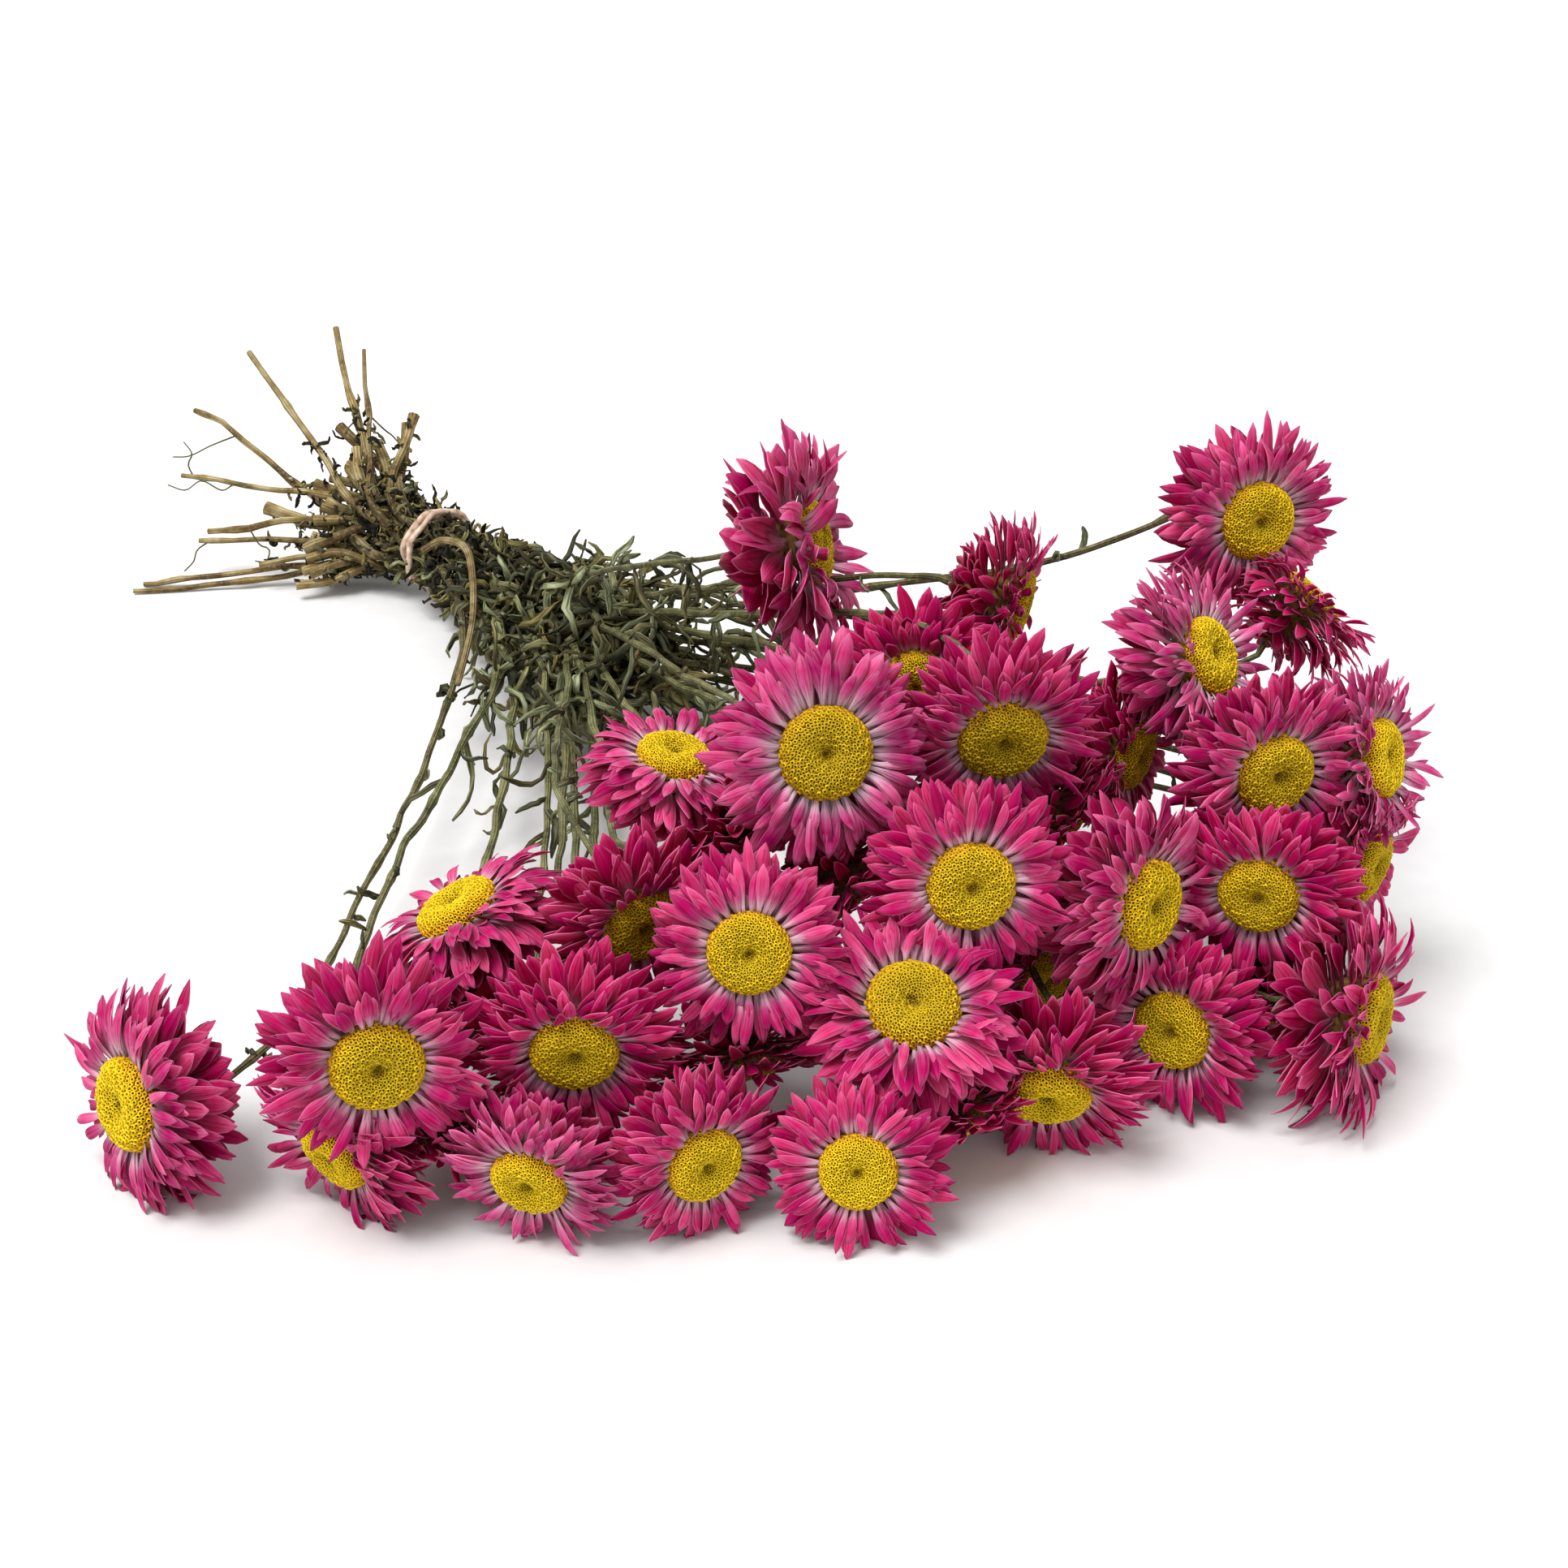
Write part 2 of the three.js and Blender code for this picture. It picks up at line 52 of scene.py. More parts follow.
UP = np.array([0.0, 0.0, 1.0])

# %% [markdown]
# The bunch is looked at from in front of its heads and a little above, from close by, so that the near
# heads look larger than the far ones. The camera is given by the point it looks at, its distance and
# two angles: how far it is turned round the bunch and how far it is tilted down.

# %% Camera
LOOKED_AT = Vector((0.1111, 0.0117, 0.050))
CAMERA_TURN = math.radians(58)
CAMERA_TILT = math.radians(27)
CAMERA_DISTANCE = 0.6
LENS_MM = 60
SENSOR_MM = 36
NEAREST_SEEN = 0.01


def add_camera():
    toward = Vector(
        (
            -math.sin(CAMERA_TURN) * math.cos(CAMERA_TILT),
            math.cos(CAMERA_TURN) * math.cos(CAMERA_TILT),
            -math.sin(CAMERA_TILT),
        )
    )
    bpy.ops.object.camera_add(location=LOOKED_AT - toward * CAMERA_DISTANCE)
    camera = bpy.context.object
    camera.rotation_euler = toward.to_track_quat("-Z", "Y").to_euler()
    camera.data.lens = LENS_MM
    camera.data.sensor_width = SENSOR_MM
    camera.data.clip_start = NEAREST_SEEN
    bpy.context.scene.camera = camera
    return camera


camera = add_camera()
print("camera at", [round(c, 3) for c in camera.location])

# %% [markdown]
# Dried flowers are lit softly, so that the thin bracts glow and the shadows on the surface stay faint.
# A wide sun from the upper left is the window, and a bright even sky fills the rest.
# The Standard view keeps the strong pinks as strong as they are.

# %% Light and surface
SUN_STRENGTH = 3.0
SUN_SOFTNESS = math.radians(32)
# The sun stands to the camera's left and above, a little in front of the bunch.
SUN_TO_THE_LEFT = math.radians(50)
SUN_SLANT = 0.45  # how far it shines sideways for each metre down
SKY_STRENGTH = 0.74
SURFACE_SIZE = 8.0


def linear(hex_colour):
    """An sRGB hex colour as linear red, green, blue and alpha."""
    channels = [int(hex_colour[i : i + 2], 16) / 255 for i in (1, 3, 5)]
    return (*[c / 12.92 if c <= 0.04045 else ((c + 0.055) / 1.055) ** 2.4 for c in channels], 1.0)


def deselect():
    if bpy.context.object and bpy.context.object.mode != "OBJECT":
        bpy.ops.object.mode_set(mode="OBJECT")
    bpy.ops.object.select_all(action="DESELECT")


def node(tree, kind, links=(), **settings):
    """Adds a shader node. Settings name its properties or, with a leading in_, its input sockets."""
    made = tree.nodes.new(kind)
    for name, value in settings.items():
        if name.startswith("in_"):
            key = name[3:]
            made.inputs[int(key) if key.isdigit() else key.replace("_", " ")].default_value = value
        else:
            setattr(made, name, value)
    for source, socket in links:
        tree.links.new(source, made.inputs[socket])
    return made


def new_material(name):
    """A material with only its output node."""
    material = bpy.data.materials.new(name)
    material.use_nodes = True
    tree = material.node_tree
    tree.nodes.clear()
    return material, tree, tree.nodes.new("ShaderNodeOutputMaterial")


def ramp(tree, source, stops):
    """A colour ramp with hex colours at the given places."""
    made = tree.nodes.new("ShaderNodeValToRGB")
    elements = made.color_ramp.elements
    while len(elements) < len(stops):
        elements.new(0.5)
    for element, (place, colour) in zip(elements, stops):
        element.position = place
        element.color = linear(colour)
    tree.links.new(source, made.inputs["Fac"])
    return made.outputs["Color"]


def value_ramp(tree, source, low, high, out_low=0.0, out_high=1.0):
    """A number taken from one range to another."""
    limits = {"in_1": low, "in_2": high, "in_3": out_low, "in_4": out_high}
    return node(tree, "ShaderNodeMapRange", [(source, "Value")], **limits).outputs["Result"]


def mixed(tree, share, first, second, blend="MIX"):
    """Two colours mixed; the share may be a number or a socket."""
    made = tree.nodes.new("ShaderNodeMix")
    made.data_type = "RGBA"
    made.blend_type = blend
    for value, socket in ((share, 0), (first, 6), (second, 7)):
        if isinstance(value, bpy.types.NodeSocket):
            tree.links.new(value, made.inputs[socket])
        elif isinstance(value, str):
            made.inputs[socket].default_value = linear(value)
        else:
            made.inputs[socket].default_value = value
    return made.outputs[2]


def maths(tree, operation, first, second=0.0, third=0.0):
    """A sum or function of numbers, each of which may be a socket."""
    made = tree.nodes.new("ShaderNodeMath")
    made.operation = operation
    for place, value in enumerate((first, second, third)):
        if isinstance(value, bpy.types.NodeSocket):
            tree.links.new(value, made.inputs[place])
        else:
            made.inputs[place].default_value = value
    return made.outputs[0]


def noise(tree, scale, detail, source=None):
    """Cloudy noise, in the object's own space unless a source is given."""
    if source is None:
        source = node(tree, "ShaderNodeTexCoord").outputs["Object"]
    made = node(tree, "ShaderNodeTexNoise", [(source, "Vector")], in_Scale=scale, in_Detail=detail)
    return made.outputs["Fac"]


def map_numbers(tree):
    """The numbers in a piece's two UV maps: where on a copy a point is, and the copy's own tones."""
    numbers = []
    for name in ("shape", "tone"):
        read = node(tree, "ShaderNodeUVMap", uv_map=name)
        numbers.append(node(tree, "ShaderNodeSeparateXYZ", [(read.outputs["UV"], "Vector")]).outputs)
    return numbers


def add_surface():
    """The matt white card that the bunch lies on, with hardly any grain."""
    deselect()
    bpy.ops.mesh.primitive_plane_add(size=SURFACE_SIZE, location=(0, 0, 0))
    surface = bpy.context.object
    surface.name = "surface"
    material, tree, out = new_material("matt_white_card")
    grain = node(tree, "ShaderNodeTexNoise", in_Scale=900.0, in_Detail=2.0)
    shade = ramp(tree, grain.outputs["Fac"], [(0.3, "#dedddd"), (0.7, "#e2e1e1")])
    card = node(tree, "ShaderNodeBsdfPrincipled", [(shade, "Base Color")], in_Roughness=0.9)
    tree.links.new(card.outputs[0], out.inputs["Surface"])
    surface.data.materials.append(material)
    return surface


def add_light():
    bpy.ops.object.light_add(type="SUN", location=(0, 0, 2))
    sun = bpy.context.object
    sun.data.energy = SUN_STRENGTH
    sun.data.angle = SUN_SOFTNESS
    turn = CAMERA_TURN - SUN_TO_THE_LEFT
    way = Vector((-math.sin(turn) * SUN_SLANT, math.cos(turn) * SUN_SLANT, -1.0))
    sun.rotation_euler = way.to_track_quat("-Z", "Y").to_euler()
    world = bpy.data.worlds.new("soft_sky")
    world.use_nodes = True
    sky = world.node_tree.nodes["Background"]
    sky.inputs["Color"].default_value = (1, 1, 1, 1)
    sky.inputs["Strength"].default_value = SKY_STRENGTH
    bpy.context.scene.world = world
    bpy.context.scene.view_settings.view_transform = "Standard"


surface = add_surface()
add_light()
print("light and surface made")

# %% [markdown]
# Each stem of the frame is a six-sided tube. The middles of its rings, in order, are the path of the
# stem, and its last two rings point along the axis of the head that it carries.
# A head's radius is how far its solid reaches from that axis. So every piece below follows the frame.

# %% Read the paths and heads from the frame
RING_SPAN = 4.0 * MM  # the corners of one ring lie closer together than this
HEAD_BASE = 0.6  # how far a head's base lies behind its widest bracts, as a share of its radius
TOUCH = 0.3 * MM  # the gap between a stem and its head in the frame


def corners_of(name):
    """The corners of a node, in metres."""
    mesh = NODES[name].data
    points = np.empty(len(mesh.vertices) * 3)
    mesh.vertices.foreach_get("co", points)
    return np.unique(points.reshape(-1, 3).round(6), axis=0)


def ring_middles(points):
    """Gathers a tube's corners into its rings and gives the rings' middles."""
    left = list(range(len(points)))
    middles = []
    while left:
        near = [i for i in left if np.linalg.norm(points[i] - points[left[0]]) < RING_SPAN]
        middles.append(points[near].mean(axis=0))
        left = [i for i in left if i not in near]
    return middles


def in_order(middles, start):
    """Walks from ring to ring, beginning at the one nearest to the start."""
    path = []
    here = start
    rest = list(middles)
    while rest:
        nearest = min(range(len(rest)), key=lambda i: np.linalg.norm(rest[i] - here))
        here = rest.pop(nearest)
        path.append(here)
    return np.array(path)


def unit(vector):
    return vector / np.linalg.norm(vector)


def placed_flower(number, axis, centre, radius, path=None):
    """A head's own frame: its middle, its radius, and the ways across it, up it and out of it."""
    side = unit(np.cross(axis, UP))
    return {
        "number": number,
        "axis": axis,
        "centre": centre,
        "radius": radius,
        "across": side,
        "upward": np.cross(side, axis),
        "path": path,
    }


def read_flower(number):
    """The path of a stem from its head to its cut end, and the frame of its head."""
    head = corners_of("head_" + number)
    rings = ring_middles(corners_of("stem_" + number))
    path = in_order(rings, head.mean(axis=0))
    axis = unit(path[0] - path[1])
    base = path[0] + axis * TOUCH
    offset = head - base
    radius = np.linalg.norm(offset - np.outer(offset @ axis, axis), axis=1).max()
    return placed_flower(number, axis, base + axis * HEAD_BASE * radius, radius, path)


NUMBERS = sorted(name[5:] for name in NODES if name.startswith("head_"))
flowers = [read_flower(number) for number in NUMBERS]
print("flowers:", len(flowers), "radii in mm:", [round(f["radius"] / MM, 1) for f in flowers])

# %% [markdown]
# Small heads sit pressed in behind the others and fill the middle of the bunch. The frame has no solids
# for them, so their places are given here. No two heads dried alike, so a table says how each one did.

# %% Inner heads, and how each head dried
# Small heads pressed in behind the others, whose discs hardly show. Each: its middle in mm, the way it
# faces, and its radius in mm.
INNER_HEADS = [
    ((156, 74, 61), (0.85, 0.45, -0.1), 19),
    ((159, 53, 51), (0.7, 0.45, -0.55), 18),
    ((152, 2, 47), (0.65, 0.4, -0.65), 19),
    ((136, -14, 56), (0.65, 0.35, -0.7), 18),
    ((176, 36, 25), (0.95, 0.2, -0.15), 19),
    ((165, -33, 21), (0.6, 0.0, -0.8), 19),
    ((148, -94, 14), (0.15, -0.65, -0.75), 17),
    ((196, 88, 15), (0.85, 0.4, -0.35), 19),
    ((134, -77, 24), (0.45, -0.15, -0.9), 17),
    ((200, -1, 16), (0.55, 0.05, -0.8), 17),
]


inner_flowers = [
    placed_flower("inner_%d" % (place + 1), unit(way), np.array(middle) * MM, radius * MM)
    for place, (middle, way, radius) in enumerate(INNER_HEADS)
]
all_flowers = flowers + inner_flowers

# How each head dried: how pale it is, how far its bracts stand up in degrees, how wide they are and how
# loosely they lie.
STYLES = {
    "01": (0.65, -6, 1.0, 0.9),
    "02": (0.40, 8, 1.0, 1.0),
    "03": (0.35, 4, 1.0, 1.0),
    "04": (0.50, -6, 1.0, 1.1),
    "05": (0.15, 14, 1.0, 1.1),
    "06": (0.90, 2, 0.85, 1.2),
    "07": (0.35, 2, 1.0, 1.0),
    "08": (0.30, 0, 1.0, 0.9),
    "09": (0.40, 0, 1.05, 0.8),
    "10": (0.30, 14, 1.1, 1.0),
    "11": (0.60, -8, 1.15, 1.2),
    "12": (0.75, -2, 1.0, 0.9),
    "13": (0.35, 4, 0.9, 1.1),
    "14": (0.30, 0, 1.0, 0.9),
    "15": (0.60, 2, 1.05, 1.3),
    "16": (0.25, 10, 1.0, 1.0),
    "17": (0.40, 16, 1.0, 1.3),
    "18": (0.25, 12, 0.9, 1.2),
    "19": (0.30, 10, 0.9, 1.2),
    "20": (0.40, 4, 1.05, 1.2),
    "21": (0.50, 6, 0.9, 1.2),
    "22": (1.0, 8, 0.85, 1.5),
    "23": (1.0, 4, 0.8, 1.6),
    "24": (0.55, 0, 0.95, 1.1),
    "25": (0.30, 6, 0.8, 1.4),
    "26": (0.85, 16, 1.45, 1.7),
    "27": (0.25, 8, 0.85, 1.2),
    "28": (0.10, 14, 1.0, 1.0),
    "29": (0.40, 6, 1.0, 1.2),
}
INNER_STYLE = (0.1, 10, 1.0, 1.1)
# Heads whose bracts are longer or shorter than usual, by this factor.
REACH = {"03": 1.08, "20": 1.12, "23": 1.06, "25": 0.92, "26": 1.15, "27": 0.9, "28": 0.95}
print("inner heads:", len(inner_flowers))

# %% [markdown]
# A head holds more than two hundred bracts that differ only in size and bend. So one bract is modelled,
# and a helper stamps it many times into one mesh: the copies are bent by the helper's caller, and
# the faces and the UV map of the one bract are repeated.

# %% Stamp one shape many times
def shape_facts(source):
    """The corners, faces and UV map of a modelled shape, as arrays."""
    mesh = source.data
    points = np.empty(len(mesh.vertices) * 3)
    mesh.vertices.foreach_get("co", points)
    corner = np.empty(len(mesh.loops), np.int32)
    mesh.loops.foreach_get("vertex_index", corner)
    start = np.empty(len(mesh.polygons), np.int32)
    mesh.polygons.foreach_get("loop_start", start)
    uv = np.zeros(len(mesh.loops) * 2, np.float32)
    if mesh.uv_layers:
        mesh.uv_layers[0].uv.foreach_get("vector", uv)
    return {"points": points.reshape(-1, 3), "corner": corner, "start": start, "uv": uv.reshape(-1, 2)}


def stamped(name, shape, places, tones):
    """One mesh with a copy of the shape for each row of places. Tones is a pair of numbers a copy."""
    copies, count = places.shape[:2]
    mesh = bpy.data.meshes.new(name)
    mesh.vertices.add(copies * count)
    mesh.vertices.foreach_set("co", places.astype(np.float32).ravel())
    corner = (shape["corner"][None] + np.arange(copies)[:, None] * count).ravel()
    start = (shape["start"][None] + np.arange(copies)[:, None] * len(shape["corner"])).ravel()
    mesh.loops.add(len(corner))
    mesh.loops.foreach_set("vertex_index", corner.astype(np.int32))
    mesh.polygons.add(len(start))
    mesh.polygons.foreach_set("loop_start", start.astype(np.int32))
    shape_map = mesh.uv_layers.new(name="shape")
    shape_map.uv.foreach_set("vector", np.tile(shape["uv"], (copies, 1)).ravel())
    tone_map = mesh.uv_layers.new(name="tone")
    tone_values = np.repeat(tones, len(shape["corner"]), axis=0).astype(np.float32)
    tone_map.uv.foreach_set("vector", tone_values.ravel())
    mesh.update(calc_edges=True)
    mesh.validate()
    mesh.shade_smooth()
    return mesh


def add_piece(name, mesh, material, slot, *replaced):
    """Puts a mesh in the scene as a piece that rides with the bunch."""
    piece = bpy.data.objects.new(name, mesh)
    bpy.context.scene.collection.objects.link(piece)
    mesh.materials.append(material)
    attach(piece, "root")
    if replaced:
        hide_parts(*replaced)
    return piece


def put_away(source):
    """Removes a modelled shape once its facts are taken."""
    facts = shape_facts(source)
    bpy.data.objects.remove(source, do_unlink=True)
    return facts


# %% [markdown]
# A bract is a thin papery blade: narrow where it grows from the head, widest past its middle, and
# pointed. It starts as a small grid, whose rows are narrowed one by one in edit mode, and a Solidify
# modifier gives it the thickness of paper, so that it is a closed solid with a front and a back.

# %% One bract
BRACT_WIDTHS = [0.34, 0.37, 0.53, 0.79, 0.96, 1.0, 0.92, 0.66, 0.07]  # from the base to the tip
THICKNESS_SHARE = 0.1


def pick_row(edited, level):
    """Selects the corners of a grid that lie at one level along Y."""
    deselect()
    bpy.context.view_layer.objects.active = edited
    edited.select_set(True)
    for vertex in edited.data.vertices:
        vertex.select = abs(vertex.co.y - level) < 1e-4
    bpy.ops.object.mode_set(mode="EDIT")


def make_blade(name, columns, widths, thickness):
    """A flat blade of two units by two, shaped by its widths, with a front, a back and closed edges."""
    deselect()
    rows = len(widths) - 1
    bpy.ops.mesh.primitive_grid_add(x_subdivisions=columns, y_subdivisions=rows, size=2)
    blade = bpy.context.object
    blade.name = name
    for row, width in enumerate(widths):
        for polygon in blade.data.polygons:
            polygon.select = False
        for edge in blade.data.edges:
            edge.select = False
        pick_row(blade, -1 + 2 * row / rows)
        bpy.ops.transform.resize(value=(width, 1, 1), center_override=(0, 0, 0))
        bpy.ops.object.mode_set(mode="OBJECT")
    solid = blade.modifiers.new("paper", "SOLIDIFY")
    solid.thickness = thickness
    solid.offset = -1
    bpy.ops.object.modifier_apply(modifier=solid.name)
    # The back of the blade is told from its front by a step of one in the UV map.
    uv = blade.data.uv_layers[0].uv
    for polygon in blade.data.polygons:
        if polygon.normal.z < -0.5:
            for loop in polygon.loop_indices:
                uv[loop].vector.x += 1
    return blade


bract = put_away(make_blade("bract", 2, BRACT_WIDTHS, THICKNESS_SHARE))
print("one bract:", len(bract["points"]), "corners,", len(bract["start"]), "faces")

# %% [markdown]
# The bracts grow in rows round the disc. The inner rows are short, stand up and curl back. The middle
# rows reach furthest. The outer rows sit lower on the base, lean back and hide the stem.
# Each bract bends along its length, is cupped across it, and twists a little, and no two are alike.

# %% Grow the bracts of a head
# Each row: where it starts (distance from the axis, height), its lean at the base and how much it bends
# towards the back in degrees, its length, its width, and how many bracts it has. Sizes are shares of the
# head's radius.
BRACT_ROWS = [
    (0.41, 0.12, 28, 42, 0.50, 0.098, 29),
    (0.41, 0.10, 22, 38, 0.56, 0.108, 29),
    (0.41, 0.06, 16, 35, 0.62, 0.12, 28),
    (0.40, 0.01, 10, 32, 0.67, 0.13, 27),
    (0.38, -0.06, 3, 30, 0.71, 0.146, 26),
    (0.34, -0.13, -4, 28, 0.70, 0.165, 24),
    (0.29, -0.21, -9, 22, 0.67, 0.18, 22),
    (0.23, -0.30, -14, 16, 0.60, 0.19, 19),
    (0.18, -0.39, -20, 10, 0.50, 0.185, 16),
    (0.13, -0.47, -28, 4, 0.37, 0.165, 13),
    (0.10, -0.55, -40, 0, 0.23, 0.135, 9),
]
BELOW_ONE = 0.999  # keeps a share below the next whole number
BEND_STEPS = 24
BEND_GROWTH = 1.4  # above 1, a bract bends more and more towards its tip
ROW_TURN = 2.4  # radians from one row to the next, so that bracts lie over gaps
INNER_ROWS = 4  # in these rows the lengths of bracts differ most
PAPER = 0.16 * MM
CLEAR_OF_SURFACE = 0.25 * MM
# How much the bracts of a head differ from one another.
UNEVEN_TURN = 0.28  # of the room between two bracts of a row
UNEVEN_START = 0.02  # of the head's radius
UNEVEN_HEIGHT = 0.03  # of the head's radius
UNEVEN_LEAN = 6  # degrees
UNEVEN_BEND = 15  # degrees
UNEVEN_TWIST = 0.28  # radians at the tip
UNEVEN_SWEEP = 0.085  # of the head's radius
# Cups and waves are shares of half a bract's width.
CUPPED = 0.28
UNEVEN_CUP = 0.34
WAVY = 0.22


def head_points(flower, along_across, along_up, along_axis):
    """Places given by three shares of length in a head's own frame, in the bunch's frame."""
    return (
        flower["centre"]
        + along_across[..., None] * flower["across"]
        + along_up[..., None] * flower["upward"]
        + along_axis[..., None] * flower["axis"]
    )


def around(random, spread, count):
    """Numbers spread evenly on both sides of zero."""
    return random.uniform(-spread, spread, count)


def draw_bracts(flower, random):
    """One line of numbers for each bract of a head: its turn, start, lean, bend, length, width and row."""
    _, stand, wide, loose = STYLES.get(flower["number"], INNER_STYLE)
    reaching = REACH.get(flower["number"], 1.0)
    last = len(BRACT_ROWS) - 1
    rows = []
    for place, (out, height, lean, bend, length, width, count) in enumerate(BRACT_ROWS):
        count = round(count / max(wide, 1))
        shortest = 0.8 - 0.12 * (place < INNER_ROWS)
        turn = (np.arange(count) + around(random, UNEVEN_TURN, count)) / count * 2 * math.pi
        columns = [
            turn + place * ROW_TURN,
            out + around(random, UNEVEN_START, count),
            height + around(random, UNEVEN_HEIGHT, count),
            np.radians(lean + stand * (1 - place / last) + random.normal(0, UNEVEN_LEAN * loose, count)),
            np.radians(bend + random.normal(0, UNEVEN_BEND * loose, count)),
            length * reaching * random.uniform(shortest, 1.2, count),
            width * wide * random.uniform(0.9, 1.35, count),
            np.full(count, place / last),
        ]
        rows.append(np.column_stack(columns))
    return np.vstack(rows)


def bract_places(flower, random):
    """The corners of all bracts of a head, and their tones."""
    pale, _, _, loose = STYLES.get(flower["number"], INNER_STYLE)
    bracts = draw_bracts(flower, random)
    turn, out, height, lean, bend, length, width, row = bracts.T[:, :, None]
    count = len(turn)
    radius = flower["radius"]
    points = bract["points"]
    along = (points[None, :, 1] + 1) / 2
    across = points[None, :, 0]
    depth = points[None, :, 2] / THICKNESS_SHARE

    # The middle line of each bract, bent more and more towards its tip.
    steps = np.linspace(0, 1, BEND_STEPS + 1)
    angle = lean - bend * steps[None] ** BEND_GROWTH
    piece = length / BEND_STEPS
    run = np.cumsum(np.cos(angle) * piece, axis=1) - np.cos(angle[:, :1]) * piece
    rise = np.cumsum(np.sin(angle) * piece, axis=1) - np.sin(angle[:, :1]) * piece
    pick = np.rint(along[0] * BEND_STEPS).astype(int)
    lean_here = angle[:, pick]
    reach = out + run[:, pick]
    level = height + rise[:, pick]

    # Across the bract: cupped like a trough, twisted, waved at the edges and swept to one side.
    cup = random.normal(CUPPED, UNEVEN_CUP, (count, 1)) * (1 - 0.5 * row)
    twist = random.normal(0, UNEVEN_TWIST * loose, (count, 1)) * along
    sweep = random.normal(0, UNEVEN_SWEEP * loose, (count, 1)) * along**2
    wave = random.uniform(0.0, WAVY, (count, 1))
    wave = wave * np.sin(along * random.uniform(5, 12, (count, 1)) + turn * 9)
    half = width / 2 * across
    lift = width / 2 * (cup * (across**2 - 0.3) + wave * across) * along**0.5
    sideways = half * np.cos(twist) - lift * np.sin(twist) + sweep
    raised = half * np.sin(twist) + lift * np.cos(twist) + depth * PAPER / radius
    reach = reach - raised * np.sin(lean_here)
    level = level + raised * np.cos(lean_here)
    cos, sin = np.cos(turn), np.sin(turn)
    # The side runs against the turn, so that the front of the blade faces outwards.
    places = head_points(
        flower,
        (reach * cos + sideways * sin) * radius,
        (reach * sin - sideways * cos) * radius,
        level * radius,
    )
    # The whole part of the first number is the head's paleness in tenths; the rest is the row.
    tones = np.column_stack([round(pale * 10) + BELOW_ONE * row[:, 0], random.uniform(0, 1, count)])
    return places, tones


PRESSED = 0.35  # how far bracts give way; the rest of them lie between the neighbour's
FLATTENED = 0.02  # what is left of the height of anything that would reach into the surface


def press_between(places, flower):
    """Bracts that meet a neighbour's are pressed back, as two heads do that lie side by side."""
    for other in all_flowers:
        apart = other["centre"] - flower["centre"]
        distance = np.linalg.norm(apart)
        if other is flower or distance > flower["radius"] + other["radius"]:
            continue
        way = apart / distance
        middle = distance * flower["radius"] / (flower["radius"] + other["radius"])
        past = (places - flower["centre"]) @ way - middle
        places = places - np.maximum(past, 0)[..., None] * way * PRESSED
    return places


def lay_on_surface(places):
    """What would reach into the surface lies on it."""
    above = places[..., 2] - CLEAR_OF_SURFACE
    places[..., 2] = np.where(above < 0, CLEAR_OF_SURFACE + above * FLATTENED, places[..., 2])
    return places


print("rows of bracts:", len(BRACT_ROWS))

# %% [markdown]
# A bract is dry and papery like tissue: white where it leaves the head, then pink, with fine lengthwise
# veins and a paler rim; the pale veins and the rim are partly painted sheen. The outer rows and the
# backs are a deep magenta, which in the outer rows is partly painted shade for the gaps between bracts.
# Paper lets some light through, so a share of a Translucent shader is mixed in.
# Veins are about 0.15 mm apart, too fine to show, so they are drawn at about 0.4 mm.

# %% The bracts' finish: papery bract
VEINS_ACROSS = 8.0
LOW_GLOSS = 0.15  # dry plant matter reflects little, which keeps its colours deep
GLOWING = 0.3  # the share of light that comes through the paper
# Colours from the base of a bract to its tip.
LIGHT_BRACT = [(0.0, "#f1e2ea"), (0.24, "#efcfe0"), (0.46, "#ec86b8"), (0.72, "#e84b94"), (1.0, "#f08cbc")]
DEEP_BRACT = [(0.0, "#efdbe5"), (0.22, "#ecb2cd"), (0.4, "#e22280"), (0.7, "#e00468"), (1.0, "#e83484")]
# The outer rows are deeper magenta: partly their own colour, partly painted shade for the gaps between
# bracts.
OUTER_BRACT = [(0.0, "#dca8c0"), (0.2, "#c80c5c"), (0.55, "#cc0054"), (0.85, "#c40050"), (1.0, "#d62a74")]


